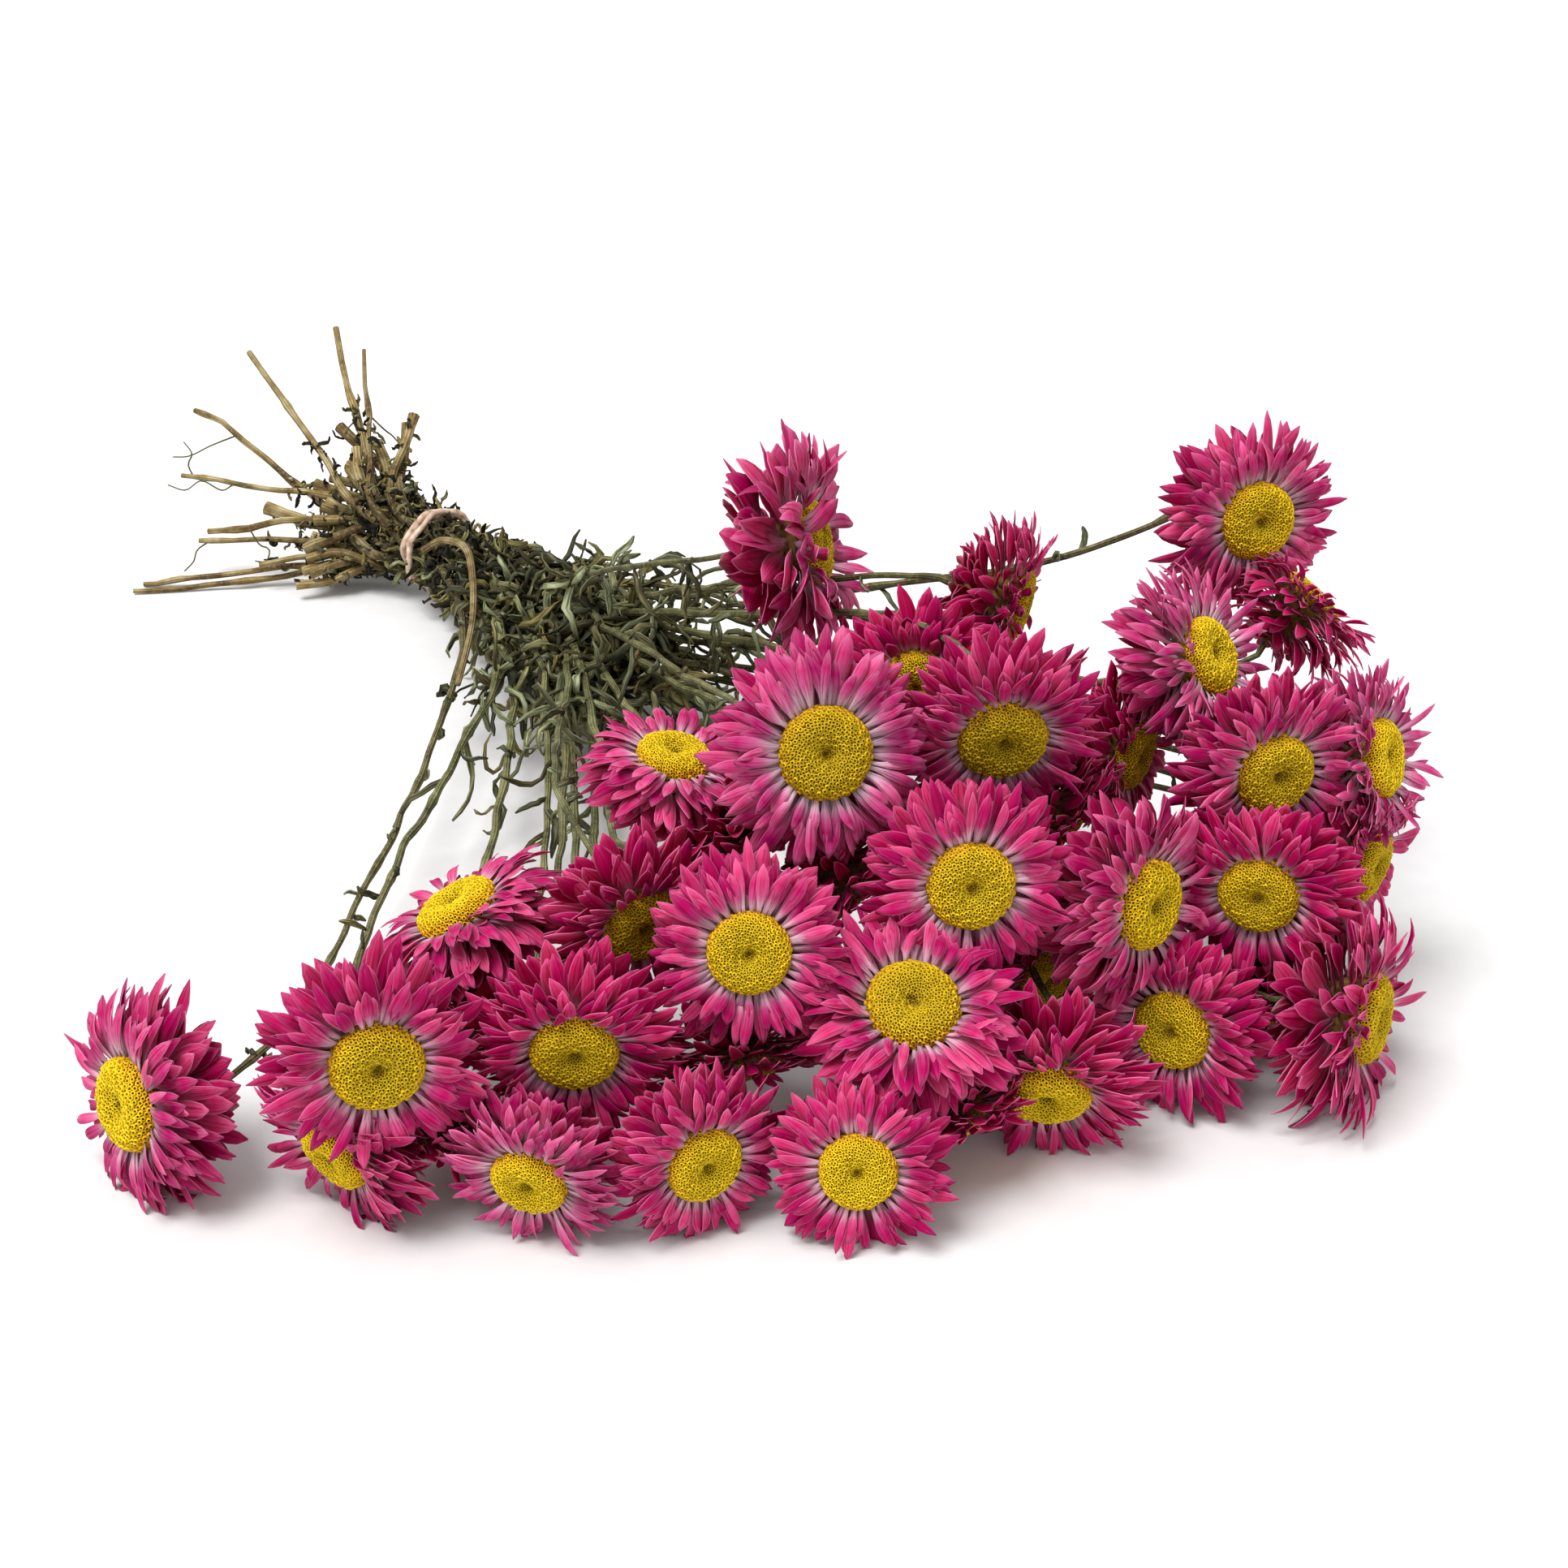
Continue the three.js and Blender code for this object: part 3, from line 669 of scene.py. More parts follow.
def papery_bract():
    """Dried papery bract: matt, thin enough to glow, with raised veins that catch a little light; its pale
    veins and rim are partly painted sheen.
    """
    material, tree, out = new_material("papery_bract")
    place, chance = map_numbers(tree)
    across = maths(tree, "FRACT", place["X"])
    back = maths(tree, "GREATER_THAN", place["X"], 0.9999)
    along = place["Y"]
    row = maths(tree, "FRACT", chance["X"])
    pale = value_ramp(tree, maths(tree, "FLOOR", chance["X"]), 0.0, 10.0)
    luck = chance["Y"]

    # Three ways a bract is coloured along its length: pale inner, deep inner, and outer.
    light = ramp(tree, along, LIGHT_BRACT)
    deep = ramp(tree, along, DEEP_BRACT)
    outer = ramp(tree, along, OUTER_BRACT)
    colour = mixed(tree, pale, deep, light)
    # Outer rows take the deeper colours, partly as painted shade in the gaps.
    outer = mixed(tree, maths(tree, "MULTIPLY", pale, 0.45), outer, light)
    colour = mixed(tree, value_ramp(tree, row, 0.15, 0.6), colour, outer)
    # The last small bracts by the stem have dry beige tips.
    tip = maths(tree, "MULTIPLY", value_ramp(tree, row, 0.8, 1.0), value_ramp(tree, along, 0.62, 0.95))
    colour = mixed(tree, tip, colour, "#b39c8e")

    streak_place = node(
        tree,
        "ShaderNodeCombineXYZ",
        [
            (maths(tree, "MULTIPLY_ADD", across, VEINS_ACROSS, maths(tree, "MULTIPLY", luck, 70.0)), "X"),
            (maths(tree, "MULTIPLY", along, 1.4), "Y"),
            (maths(tree, "MULTIPLY", luck, 31.0), "Z"),
        ],
    )
    streaks = noise(tree, 1.0, 3.0, streak_place.outputs[0])
    dark_vein = value_ramp(tree, streaks, 0.5, 0.32, 0.0, 0.8)
    colour = mixed(tree, dark_vein, colour, mixed(tree, 1.0, colour, "#b0386c", "MULTIPLY"))
    # Pale streaks: partly the paler veins of the paper, partly painted sheen.
    pale_vein_and_sheen = value_ramp(tree, streaks, 0.54, 0.74, 0.0, 0.4)
    colour = mixed(tree, pale_vein_and_sheen, colour, mixed(tree, 0.4, colour, "#ff9ccc"))

    # The paler rim: partly the bract's own pale margin, partly painted sheen along the edges.
    pale_rim_and_sheen = maths(tree, "ABSOLUTE", maths(tree, "MULTIPLY_ADD", across, 2.0, -1.0))
    pale_rim_and_sheen = maths(tree, "POWER", pale_rim_and_sheen, 12.0)
    pale_rim_and_sheen = maths(tree, "MULTIPLY", pale_rim_and_sheen, value_ramp(tree, along, 0.3, 0.7, 0.1, 0.6))
    colour = mixed(tree, pale_rim_and_sheen, colour, "#ffa6d2")
    colour = mixed(tree, maths(tree, "MULTIPLY", back, 0.25), colour, "#b50a4e")
    shade = node(
        tree,
        "ShaderNodeHueSaturation",
        [
            (colour, "Color"),
            (value_ramp(tree, luck, 0.0, 1.0, 0.68, 1.15), "Value"),
            (value_ramp(tree, luck, 0.0, 1.0, 1.08, 0.97), "Saturation"),
        ],
    ).outputs["Color"]

    bump = node(tree, "ShaderNodeBump", [(streaks, "Height")], in_Strength=0.6, in_Distance=0.0002)
    rough = value_ramp(tree, streaks, 0.3, 0.7, 0.6, 0.45)
    paper = node(
        tree,
        "ShaderNodeBsdfPrincipled",
        [(shade, "Base Color"), (rough, "Roughness"), (bump.outputs[0], "Normal")],
        in_Specular_IOR_Level=LOW_GLOSS,
    )
    glow = node(tree, "ShaderNodeBsdfTranslucent", [(shade, "Color"), (bump.outputs[0], "Normal")])
    both = node(tree, "ShaderNodeMixShader", [(paper.outputs[0], 1), (glow.outputs[0], 2)], in_0=GLOWING)
    tree.links.new(both.outputs[0], out.inputs["Surface"])
    return material


bract_finish = papery_bract()

for seed, flower in enumerate(all_flowers):
    random = np.random.default_rng(100 + seed)
    places, tones = bract_places(flower, random)
    places = lay_on_surface(press_between(places, flower))
    mesh = stamped("bracts_" + flower["number"], bract, places, tones)
    node_name = "head_" + flower["number"]
    stands_for = [node_name] if node_name in NODES else []
    add_piece("bracts_" + flower["number"], mesh, bract_finish, "bracts", *stands_for)
print("bracts in each head:", sum(row[-1] for row in BRACT_ROWS))

# %% [markdown]
# The disc is a cushion of hundreds of small tube-shaped florets on a domed base with a dip in its
# middle. They follow the golden angle, as in every daisy, which gives the crossing spirals.
# The base is a circle, extruded and resized ring by ring. A floret is a five-sided cone whose top is
# inset and pushed down, so that it has a dark mouth.

# %% The base of a head and one floret
# The outline of the dome and of the underside: distance from the axis and height, as shares of the
# head's radius.
DOME = [
    (0.405, 0.06),
    (0.41, 0.13),
    (0.39, 0.19),
    (0.345, 0.235),
    (0.27, 0.255),
    (0.19, 0.245),
    (0.12, 0.205),
    (0.07, 0.145),
    (0.03, 0.10),
]
UNDERSIDE = [(0.065, -0.66), (0.10, -0.60), (0.17, -0.46), (0.27, -0.28), (0.36, -0.10)]


def make_base():
    """A head without its bracts, for a radius of one: from the neck of the stem to the dome."""
    deselect()
    outline = UNDERSIDE + DOME
    first_radius, first_height = outline[0]
    bpy.ops.mesh.primitive_circle_add(
        vertices=20, radius=first_radius, fill_type="NGON", location=(0, 0, first_height)
    )
    base = bpy.context.object
    bpy.ops.object.transform_apply(location=True)
    bpy.ops.object.mode_set(mode="EDIT")
    bpy.ops.mesh.select_all(action="SELECT")
    for (radius, height), (wider, higher) in zip(outline, outline[1:]):
        bpy.ops.mesh.extrude_region_move(TRANSFORM_OT_translate={"value": (0, 0, higher - height)})
        share = wider / radius
        bpy.ops.transform.resize(value=(share, share, 1), center_override=(0, 0, higher))
    bpy.ops.mesh.select_all(action="SELECT")
    bpy.ops.mesh.normals_make_consistent(inside=False)
    bpy.ops.object.mode_set(mode="OBJECT")
    return base


def make_floret():
    """One open floret, one unit wide and one unit high, its base at the origin."""
    deselect()
    bpy.ops.mesh.primitive_cone_add(vertices=5, radius1=0.58, radius2=0.52, depth=1.0, location=(0, 0, 0.5))
    floret = bpy.context.object
    bpy.ops.object.transform_apply(location=True)
    for polygon in floret.data.polygons:
        polygon.select = polygon.normal.z > 0.9
    for edge in floret.data.edges:
        edge.select = False
    for vertex in floret.data.vertices:
        vertex.select = vertex.co.z > 0.9
    bpy.ops.object.mode_set(mode="EDIT")
    bpy.ops.mesh.select_mode(type="FACE")
    bpy.ops.mesh.inset(thickness=0.17, depth=0.1)
    bpy.ops.mesh.inset(thickness=0.1, depth=-0.5)
    bpy.ops.mesh.merge(type="CENTER")
    bpy.ops.mesh.select_mode(type="VERT")
    bpy.ops.object.mode_set(mode="OBJECT")
    # The map holds how far a corner is from the middle and how high it stands.
    uv = floret.data.uv_layers[0].uv
    for loop in floret.data.loops:
        corner = floret.data.vertices[loop.vertex_index].co
        uv[loop.index].vector = (math.hypot(corner.x, corner.y), corner.z)
    return floret


base_shape = put_away(make_base())
floret = put_away(make_floret())
print("base:", len(base_shape["start"]), "faces; floret:", len(floret["start"]), "faces")

# %% [markdown]
# The florets are packed by area. They are smaller and closer together towards the middle, where they
# are youngest. Some discs have gone browner than others.

# %% Pack the florets
FLORETS = 520
OVERLAP = 1.15  # a floret fills this much of its share of the dome, so that neighbours touch
MIDDLE_SPACING = 0.72  # how far apart florets stand in the middle, as a share of that at the rim
UNEVEN_TILT = 0.09  # radians
LINE_STEPS = 400
SMOOTHED = 15  # steps over which the slope of the dome is averaged
GOLDEN_ANGLE = math.pi * (3 - math.sqrt(5))
FLORET_HEIGHT = 0.045
SUNK = 0.015  # how deep a floret's foot sits in the base
# How yellow each disc still is, from brown at 0 to fresh at 1.
BRIGHT_DISCS = {
    "01": 1.0,
    "03": 1.0,
    "04": 1.0,
    "06": 0.9,
    "07": 0.9,
    "08": 0.9,
    "09": 0.7,
    "11": 0.9,
    "12": 0.2,
    "13": 0.1,
    "14": 0.6,
    "15": 0.9,
    "17": 0.3,
    "18": 1.0,
    "22": 1.0,
    "23": 0.9,
    "24": 0.7,
}
USUAL_DISC = 0.5


def smoothed(values):
    return np.convolve(np.pad(values, SMOOTHED // 2, "edge"), np.ones(SMOOTHED) / SMOOTHED, "valid")


def dome_line():
    """The dome from its middle to its foot: distance from the axis, height, slope, and share of florets."""
    line = np.array([(0.0, 0.09)] + DOME[::-1])
    step = np.concatenate([[0], np.cumsum(np.linalg.norm(np.diff(line, axis=0), axis=1))])
    fine = np.linspace(0, step[-1], LINE_STEPS)
    out = np.interp(fine, step, line[:, 0])
    high = np.interp(fine, step, line[:, 1])
    slope_out = smoothed(np.gradient(out))
    slope_high = smoothed(np.gradient(high))
    crowding = 1 / (MIDDLE_SPACING + (1 - MIDDLE_SPACING) * fine / fine[-1]) ** 2
    share = np.cumsum(out * crowding)
    area = 2 * math.pi * np.cumsum(out) * fine[1]
    return out, high, np.arctan2(slope_high, slope_out), share / share[-1], area[-1], np.sqrt(crowding)


def floret_places(flower, random):
    """The corners of all florets of a disc, and their tones."""
    line_out, line_high, line_slope, share, area, crowding = dome_line()
    order = (np.arange(FLORETS) + 0.5) / FLORETS
    reach = np.interp(order, share, line_out)
    height = np.interp(order, share, line_high)
    slope = np.interp(order, share, line_slope)
    turn = np.arange(FLORETS) * GOLDEN_ANGLE + random.uniform(0, 6)
    pitch = math.sqrt(area / FLORETS * OVERLAP) * crowding.mean()
    size = pitch / np.interp(order, share, crowding) * random.uniform(0.96, 1.08, FLORETS)
    tall = FLORET_HEIGHT * random.uniform(0.75, 1.25, FLORETS)
    slope = slope + random.normal(0, UNEVEN_TILT, FLORETS)
    points = floret["points"][None]
    spin = random.uniform(0, 6, (FLORETS, 1))
    local_out = (points[..., 0] * np.cos(spin) - points[..., 1] * np.sin(spin)) * size[:, None]
    local_side = (points[..., 0] * np.sin(spin) + points[..., 1] * np.cos(spin)) * size[:, None]
    local_up = points[..., 2] * tall[:, None] - SUNK
    tilt = slope[:, None]
    out = reach[:, None] + local_out * np.cos(tilt) - local_up * np.sin(tilt)
    high = height[:, None] + local_out * np.sin(tilt) + local_up * np.cos(tilt)
    cos, sin = np.cos(turn)[:, None], np.sin(turn)[:, None]
    radius = flower["radius"]
    places = head_points(
        flower,
        (out * cos - local_side * sin) * radius,
        (out * sin + local_side * cos) * radius,
        high * radius,
    )
    bright = round(10 * BRIGHT_DISCS.get(flower["number"], USUAL_DISC))
    tones = np.column_stack([bright + BELOW_ONE * order, random.uniform(0, 1, FLORETS)])
    return places, tones


def place_base(flower):
    """The corners of a head's base."""
    x, y, z = (base_shape["points"][:, axis] * flower["radius"] for axis in range(3))
    return head_points(flower, x, y, z)[None]


print("florets in each disc:", FLORETS)

# %% [markdown]
# The florets' finish: dry and velvety, egg-yolk yellow at the rims, with painted shade, brown going to
# near black, in the mouths and at the feet in the gaps, so that the disc looks pricked all over. They
# turn a little greener towards the middle and ochre at the rim.

# %% The florets' finish: dried floret
def dried_floret():
    """Dried floret: a matt velvety tube, yellow at its rim, with painted shade inside and at its foot."""
    material, tree, out = new_material("dried_floret")
    place, chance = map_numbers(tree)
    ripe = ramp(
        tree,
        maths(tree, "FRACT", chance["X"]),
        [(0.0, "#b4941a"), (0.1, "#e6c81c"), (0.6, "#f3cf1a"), (0.85, "#e8b018"), (1.0, "#bd8216")],
    )
    # Painted shade: each floret darkens to brown towards its foot, where the gaps between florets lie.
    height = value_ramp(tree, place["Y"], 0.3, 0.9)
    colour = mixed(tree, height, "#8f5a07", ripe)
    # Painted shade: the mouth of each floret goes to a near-black brown.
    painted_mouth_shade = value_ramp(tree, place["X"], 0.38, 0.2)
    colour = mixed(tree, painted_mouth_shade, colour, "#3d2102")
    browned = value_ramp(tree, maths(tree, "FLOOR", chance["X"]), 0.0, 10.0, 0.4, 0.0)
    colour = mixed(tree, browned, colour, "#6e4a08")
    shade = node(
        tree,
        "ShaderNodeHueSaturation",
        [(colour, "Color"), (value_ramp(tree, chance["Y"], 0.0, 1.0, 0.84, 1.12), "Value")],
    ).outputs["Color"]
    matt = {"in_Roughness": 0.75, "in_Specular_IOR_Level": LOW_GLOSS}
    velvet = node(tree, "ShaderNodeBsdfPrincipled", [(shade, "Base Color")], **matt)
    tree.links.new(velvet.outputs[0], out.inputs["Surface"])
    return material


def dried_base():
    """The head's dry fleshy base: brown and matt, seen only in the gaps."""
    material, tree, out = new_material("dried_flower_base")
    colour = ramp(tree, noise(tree, 900.0, 3.0), [(0.3, "#4a3208"), (0.7, "#7d5a14")])
    base = node(tree, "ShaderNodeBsdfPrincipled", [(colour, "Base Color")], in_Roughness=0.85)
    tree.links.new(base.outputs[0], out.inputs["Surface"])
    return material


floret_finish = dried_floret()
base_finish = dried_base()

for seed, flower in enumerate(all_flowers):
    random = np.random.default_rng(300 + seed)
    places, tones = floret_places(flower, random)
    mesh = stamped("disc_" + flower["number"], floret, places, tones)
    add_piece("disc_" + flower["number"], mesh, floret_finish, "disc")
    under = stamped("base_" + flower["number"], base_shape, place_base(flower), np.zeros((1, 2)))
    add_piece("base_" + flower["number"], under, base_finish, "disc")
print("discs:", len(all_flowers))

# %% [markdown]
# A stem is a thin dry stalk with fine ribs, a little thicker at its cut end than at its head. It is a
# curve with a round bevel that follows the frame's path, drawn smooth through the rings' middles,
# and then made a mesh.

# %% Stalks along a path
STEM_STEP = 4.0 * MM
STEM_SIDES = 8
STEPS_BETWEEN = 16  # steps between two points of a path, before it is cut into even ones
WELDED = 0.01 * MM


def lengths_along(path):
    """How far each point of a path is from its start."""
    return np.concatenate([[0], np.cumsum(np.linalg.norm(np.diff(path, axis=0), axis=1))])


def smooth_path(points, step):
    """A smooth line through the points, at even steps, by Catmull and Rom's rule."""
    padded = np.vstack([2 * points[0] - points[1], points, 2 * points[-1] - points[-2]])
    fine = []
    for before, here, after, beyond in zip(padded, padded[1:], padded[2:], padded[3:]):
        for t in np.linspace(0, 1, STEPS_BETWEEN, endpoint=False):
            fine.append(
                0.5
                * (
                    2 * here
                    + (after - before) * t
                    + (2 * before - 5 * here + 4 * after - beyond) * t**2
                    + (3 * here - before - 3 * after + beyond) * t**3
                )
            )
    fine.append(points[-1])
    fine = np.array(fine)
    length = lengths_along(fine)
    count = max(4, int(length[-1] / step))
    wanted = np.linspace(0, length[-1], count + 1)
    return np.column_stack([np.interp(wanted, length, fine[:, axis]) for axis in range(3)])


def bevelled(name, path, radii, sides):
    """A round stalk along a path, as a closed mesh."""
    curve = bpy.data.curves.new(name, "CURVE")
    curve.dimensions = "3D"
    curve.bevel_depth = 1.0
    curve.bevel_resolution = sides // 2 - 2
    curve.use_fill_caps = True
    spline = curve.splines.new("POLY")
    spline.points.add(len(path) - 1)
    spline.points.foreach_set("co", np.column_stack([path, np.ones(len(path))]).ravel())
    spline.points.foreach_set("radius", radii)
    holder = bpy.data.objects.new(name, curve)
    bpy.context.scene.collection.objects.link(holder)
    deselect()
    holder.select_set(True)
    bpy.context.view_layer.objects.active = holder
    bpy.ops.object.convert(target="MESH")
    made = bpy.context.object
    bpy.ops.object.mode_set(mode="EDIT")
    bpy.ops.mesh.select_all(action="SELECT")
    bpy.ops.mesh.remove_doubles(threshold=WELDED)
    bpy.ops.mesh.normals_make_consistent(inside=False)
    bpy.ops.object.mode_set(mode="OBJECT")
    return made


def map_stalk(mesh, path, ahead, luck):
    """Writes two UV maps: the turn round the stalk and the length along it, and the place and a chance."""
    corners = np.empty(len(mesh.vertices) * 3)
    mesh.vertices.foreach_get("co", corners)
    corners = corners.reshape(-1, 3)
    length = lengths_along(path)
    nearest = ((corners[:, None] - path[None]) ** 2).sum(axis=2).argmin(axis=1)
    forward = np.gradient(path, axis=0)[nearest]
    forward /= np.linalg.norm(forward, axis=1)[:, None]
    side = np.cross(forward, UP + 0.01)
    side /= np.linalg.norm(side, axis=1)[:, None]
    over = np.cross(side, forward)
    offset = corners - path[nearest]
    turn = np.arctan2((offset * over).sum(axis=1), (offset * side).sum(axis=1)) / (2 * math.pi)
    index = np.empty(len(mesh.loops), np.int32)
    mesh.loops.foreach_get("vertex_index", index)
    for old in list(mesh.uv_layers):
        mesh.uv_layers.remove(old)
    maps = {
        "shape": np.column_stack([turn, length[nearest]]),
        "tone": np.column_stack([ahead[nearest], np.full(len(nearest), luck)]),
    }
    for name, values in maps.items():
        layer = mesh.uv_layers.new(name=name)
        layer.uv.foreach_set("vector", values[index].astype(np.float32).ravel())


print("a stalk has", STEM_SIDES, "sides and a ring every", STEM_STEP / MM, "mm")

# %% [markdown]
# The stems' finish changes along their length: olive ahead of the tie, straw behind it where they dried
# in the light, and nearly black among the leaves, which is painted shade for the hollows there. Eight ribs
# run along each.

# %% The stems' finish: dry stalk
RIBS = 8


def dry_stalk():
    """Dry herbaceous stalk: matt, ribbed, green ahead of the tie and straw-coloured behind it."""
    material, tree, out = new_material("dry_stalk")
    place, chance = map_numbers(tree)
    ahead = chance["X"]
    luck = chance["Y"]
    ribs = maths(tree, "SINE", maths(tree, "MULTIPLY", place["X"], 2 * math.pi * RIBS))
    patches = noise(tree, 110.0, 5.0)
    fine = noise(tree, 1100.0, 3.0)
    green = ramp(
        tree,
        patches,
        [(0.28, "#3c3a20"), (0.42, "#5d5f38"), (0.55, "#7c7d50"), (0.68, "#949366"), (0.8, "#6c6240")],
    )
    straw = ramp(
        tree,
        patches,
        [(0.28, "#4d3820"), (0.42, "#7d6436"), (0.52, "#a8905a"), (0.64, "#c8b688"), (0.78, "#8b7646")],
    )
    colour = mixed(tree, value_ramp(tree, ahead, -0.006, 0.012), straw, green)
    # Painted shade: among the leaves, from behind the tie to well ahead of it, the stems go nearly black,
    # as the hollows of the leaf mass are in shade.
    painted_hollow_shade = maths(
        tree,
        "MULTIPLY",
        value_ramp(tree, ahead, -0.05, -0.012),
        value_ramp(tree, ahead, 0.13, 0.03),
    )
    colour = mixed(tree, maths(tree, "MULTIPLY", painted_hollow_shade, 0.8), colour, "#0f0c07")
    old = maths(tree, "MULTIPLY", value_ramp(tree, luck, 0.5, 1.0), 0.5)
    colour = mixed(tree, old, colour, "#5d4a2c")
    # Painted shade: the grooves between the ribs are darkened towards dark brown.
    painted_groove_shade = value_ramp(tree, ribs, -1.0, 0.2, 0.5, 0.0)
    colour = mixed(tree, painted_groove_shade, colour, "#231c0e")
    colour = mixed(tree, value_ramp(tree, fine, 0.5, 0.75, 0.0, 0.45), colour, "#b5a878")
    bump = node(tree, "ShaderNodeBump", [(ribs, "Height")], in_Strength=0.7, in_Distance=0.0002)
    stalk = node(
        tree,
        "ShaderNodeBsdfPrincipled",
        [(colour, "Base Color"), (bump.outputs[0], "Normal")],
        in_Roughness=0.7,
        in_Specular_IOR_Level=0.25,
    )
    tree.links.new(stalk.outputs[0], out.inputs["Surface"])
    return material


stem_finish = dry_stalk()
print("material:", stem_finish.name)

# %% [markdown]
# Each stem follows its own path from the frame, with a slight wobble. It swells a little where leaves
# grew. Long cut ends are thin shoots, short ones are stout stubs.

# %% Stems
# A stem's radius inside its head, just under it, well ahead of the tie, at the tie and behind it.
INTO_HEAD_RADIUS = 1.1 * MM
HEAD_END_RADIUS = 0.75 * MM
AHEAD_RADIUS = 1.1 * MM
TIE_RADIUS = 1.2 * MM
BEHIND_RADIUS = 1.3 * MM
LONG_TAIL = 75 * MM  # a cut end longer than this is a thin one
WOBBLE = 0.45 * MM
INTO_HEAD = 0.02  # how far a stem reaches into its head's base, as a share of the head's radius
SWOLLEN = 0.35  # how much thicker a stem is where leaves grew
SWELLING_WAVE = 7 * MM  # swellings are two pi times this apart, about 44 mm
tie_low, tie_high = (np.array(corner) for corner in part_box("tie_band"))
TIE = (tie_low + tie_high) / 2


def ahead_of_tie(path):
    """How far each point of a stem is from the tie, positive on the side of the heads."""
    length = lengths_along(path)
    return length[np.linalg.norm(path - TIE, axis=1).argmin()] - length


def stem_radii(path, random):
    """Thinnest behind the head, with slight swellings where leaves grew; a short tail is a stout one."""
    ahead = ahead_of_tie(path)
    tail = -ahead.min()
    cut_end = random.uniform(1.5, 2.0) * MM if tail < LONG_TAIL else random.uniform(0.7, 1.0) * MM
    known_at = [-tail, -12 * MM, 0, 60 * MM, ahead.max()]
    known = [cut_end, BEHIND_RADIUS, TIE_RADIUS, AHEAD_RADIUS, HEAD_END_RADIUS]
    swelling = np.maximum(0, np.sin(ahead / SWELLING_WAVE + random.uniform(0, 6))) ** 8
    radii = np.interp(ahead, known_at, known) * (1 + SWOLLEN * swelling)
    radii = radii * random.uniform(0.92, 1.08) * random.uniform(0.94, 1.06, len(path))
    radii[0] = INTO_HEAD_RADIUS
    return radii


def finish_stalk(piece, path, ahead, age):
    """Gives a stalk its UV maps and its finish, and lets it ride with the bunch."""
    map_stalk(piece.data, path, ahead, age)
    piece.data.materials.clear()
    piece.data.materials.append(stem_finish)
    piece.data.shade_smooth()
    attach(piece, "root")


stem_paths = {}
for flower in flowers:
    number = flower["number"]
    random = np.random.default_rng(500 + int(number))
    path = smooth_path(flower["path"], STEM_STEP)
    path[0] = flower["centre"] - flower["axis"] * flower["radius"] * (HEAD_BASE + INTO_HEAD)
    wobble = random.normal(0, WOBBLE, (len(path) // 3 + 2, 3))
    knots = np.linspace(0, 1, len(wobble))
    along = np.linspace(0, 1, len(path))
    path = path + np.column_stack([np.interp(along, knots, wobble[:, axis]) for axis in range(3)])
    radii = stem_radii(path, random)
    path[:, 2] = np.maximum(path[:, 2], radii + CLEAR_OF_SURFACE)
    stem_paths[number] = path
    piece = bevelled("stem_stalk_" + number, path, radii, STEM_SIDES)
    finish_stalk(piece, path, ahead_of_tie(path), random.uniform(0, 1))
    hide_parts("stem_" + number)
print("stems:", len(stem_paths))

# %% [markdown]
# The leaves are narrow straps that dried into curls. One blade is modelled as the bract was, and copies
# are placed along the stems: crowded and small near the tie, longer and fewer towards the heads.

# %% One leaf, and how it curls
LEAF_WIDTHS = [0.4, 0.75, 1.0, 0.9, 1.0, 0.85, 0.7, 0.25]  # from the base to the tip
leaf = put_away(make_blade("leaf", 2, LEAF_WIDTHS, THICKNESS_SHARE))
LEAF_PAPER = 0.35 * MM
CURL_STEPS = 14
# Curls are in radians; a whole leaf turns by nearly twice its curl.
USUAL_CURL = 0.8
UNEVEN_CURL = 1.1
UNEVEN_SPIN = 1.6  # radians between a leaf's base and its tip
CLEAR_OF_CUT = 3 * MM  # no leaf grows nearer to a cut end
CLEAR_OF_HEAD = 14 * MM


def leaf_places(roots, ways, lengths, widths, random, droop, crinkle):
    """Curled straps that start at the roots and leave in the given ways."""
    count = len(roots)
    piece = (lengths / CURL_STEPS)[:, None]
    curl_axis = random.normal(0, 1, (count, 3))
    curl_axis -= (curl_axis * ways).sum(axis=1)[:, None] * ways
    curl_axis /= np.linalg.norm(curl_axis, axis=1)[:, None]
    curl = random.normal(0, UNEVEN_CURL, (count, 1))
    curl = curl + np.sign(random.normal(0, 1, (count, 1))) * USUAL_CURL
    line = [roots]
    headings = [ways]
    heading = ways
    for step in range(CURL_STEPS):
        # Tighter towards the tip.
        turn = curl * (0.64 + 2.56 * step / CURL_STEPS) / CURL_STEPS
        heading = heading * np.cos(turn) + np.cross(curl_axis, heading) * np.sin(turn)
        heading = heading - UP * droop / CURL_STEPS + random.normal(0, crinkle, (count, 3))
        heading /= np.linalg.norm(heading, axis=1)[:, None]
        line.append(line[-1] + heading * piece)
        headings.append(heading)
    line = np.array(line)
    headings = np.array(headings)
    points = leaf["points"]
    along = (points[:, 1] + 1) / 2
    pick = np.rint(along * CURL_STEPS).astype(int)
    middle = line[pick].transpose(1, 0, 2)
    forward = headings[pick].transpose(1, 0, 2)
    side = np.cross(forward, curl_axis[:, None] * 0.6 + UP * 0.4 + 0.01)
    side /= np.linalg.norm(side, axis=2)[..., None]
    spin = random.uniform(-1.5, 1.5, (count, 1)) + random.normal(0, UNEVEN_SPIN, (count, 1)) * along
    over = np.cross(side, forward)
    turned = side * np.cos(spin)[..., None] + over * np.sin(spin)[..., None]
    thick = np.cross(turned, forward)
    across = points[None, :, 0] * widths[:, None] / 2
    fold = np.abs(points[None, :, 0]) ** 2 * widths[:, None] * random.uniform(0.1, 0.5, (count, 1))
    depth = points[None, :, 2] / THICKNESS_SHARE * LEAF_PAPER
    return middle + turned * across[..., None] + thick * (fold + depth)[..., None]


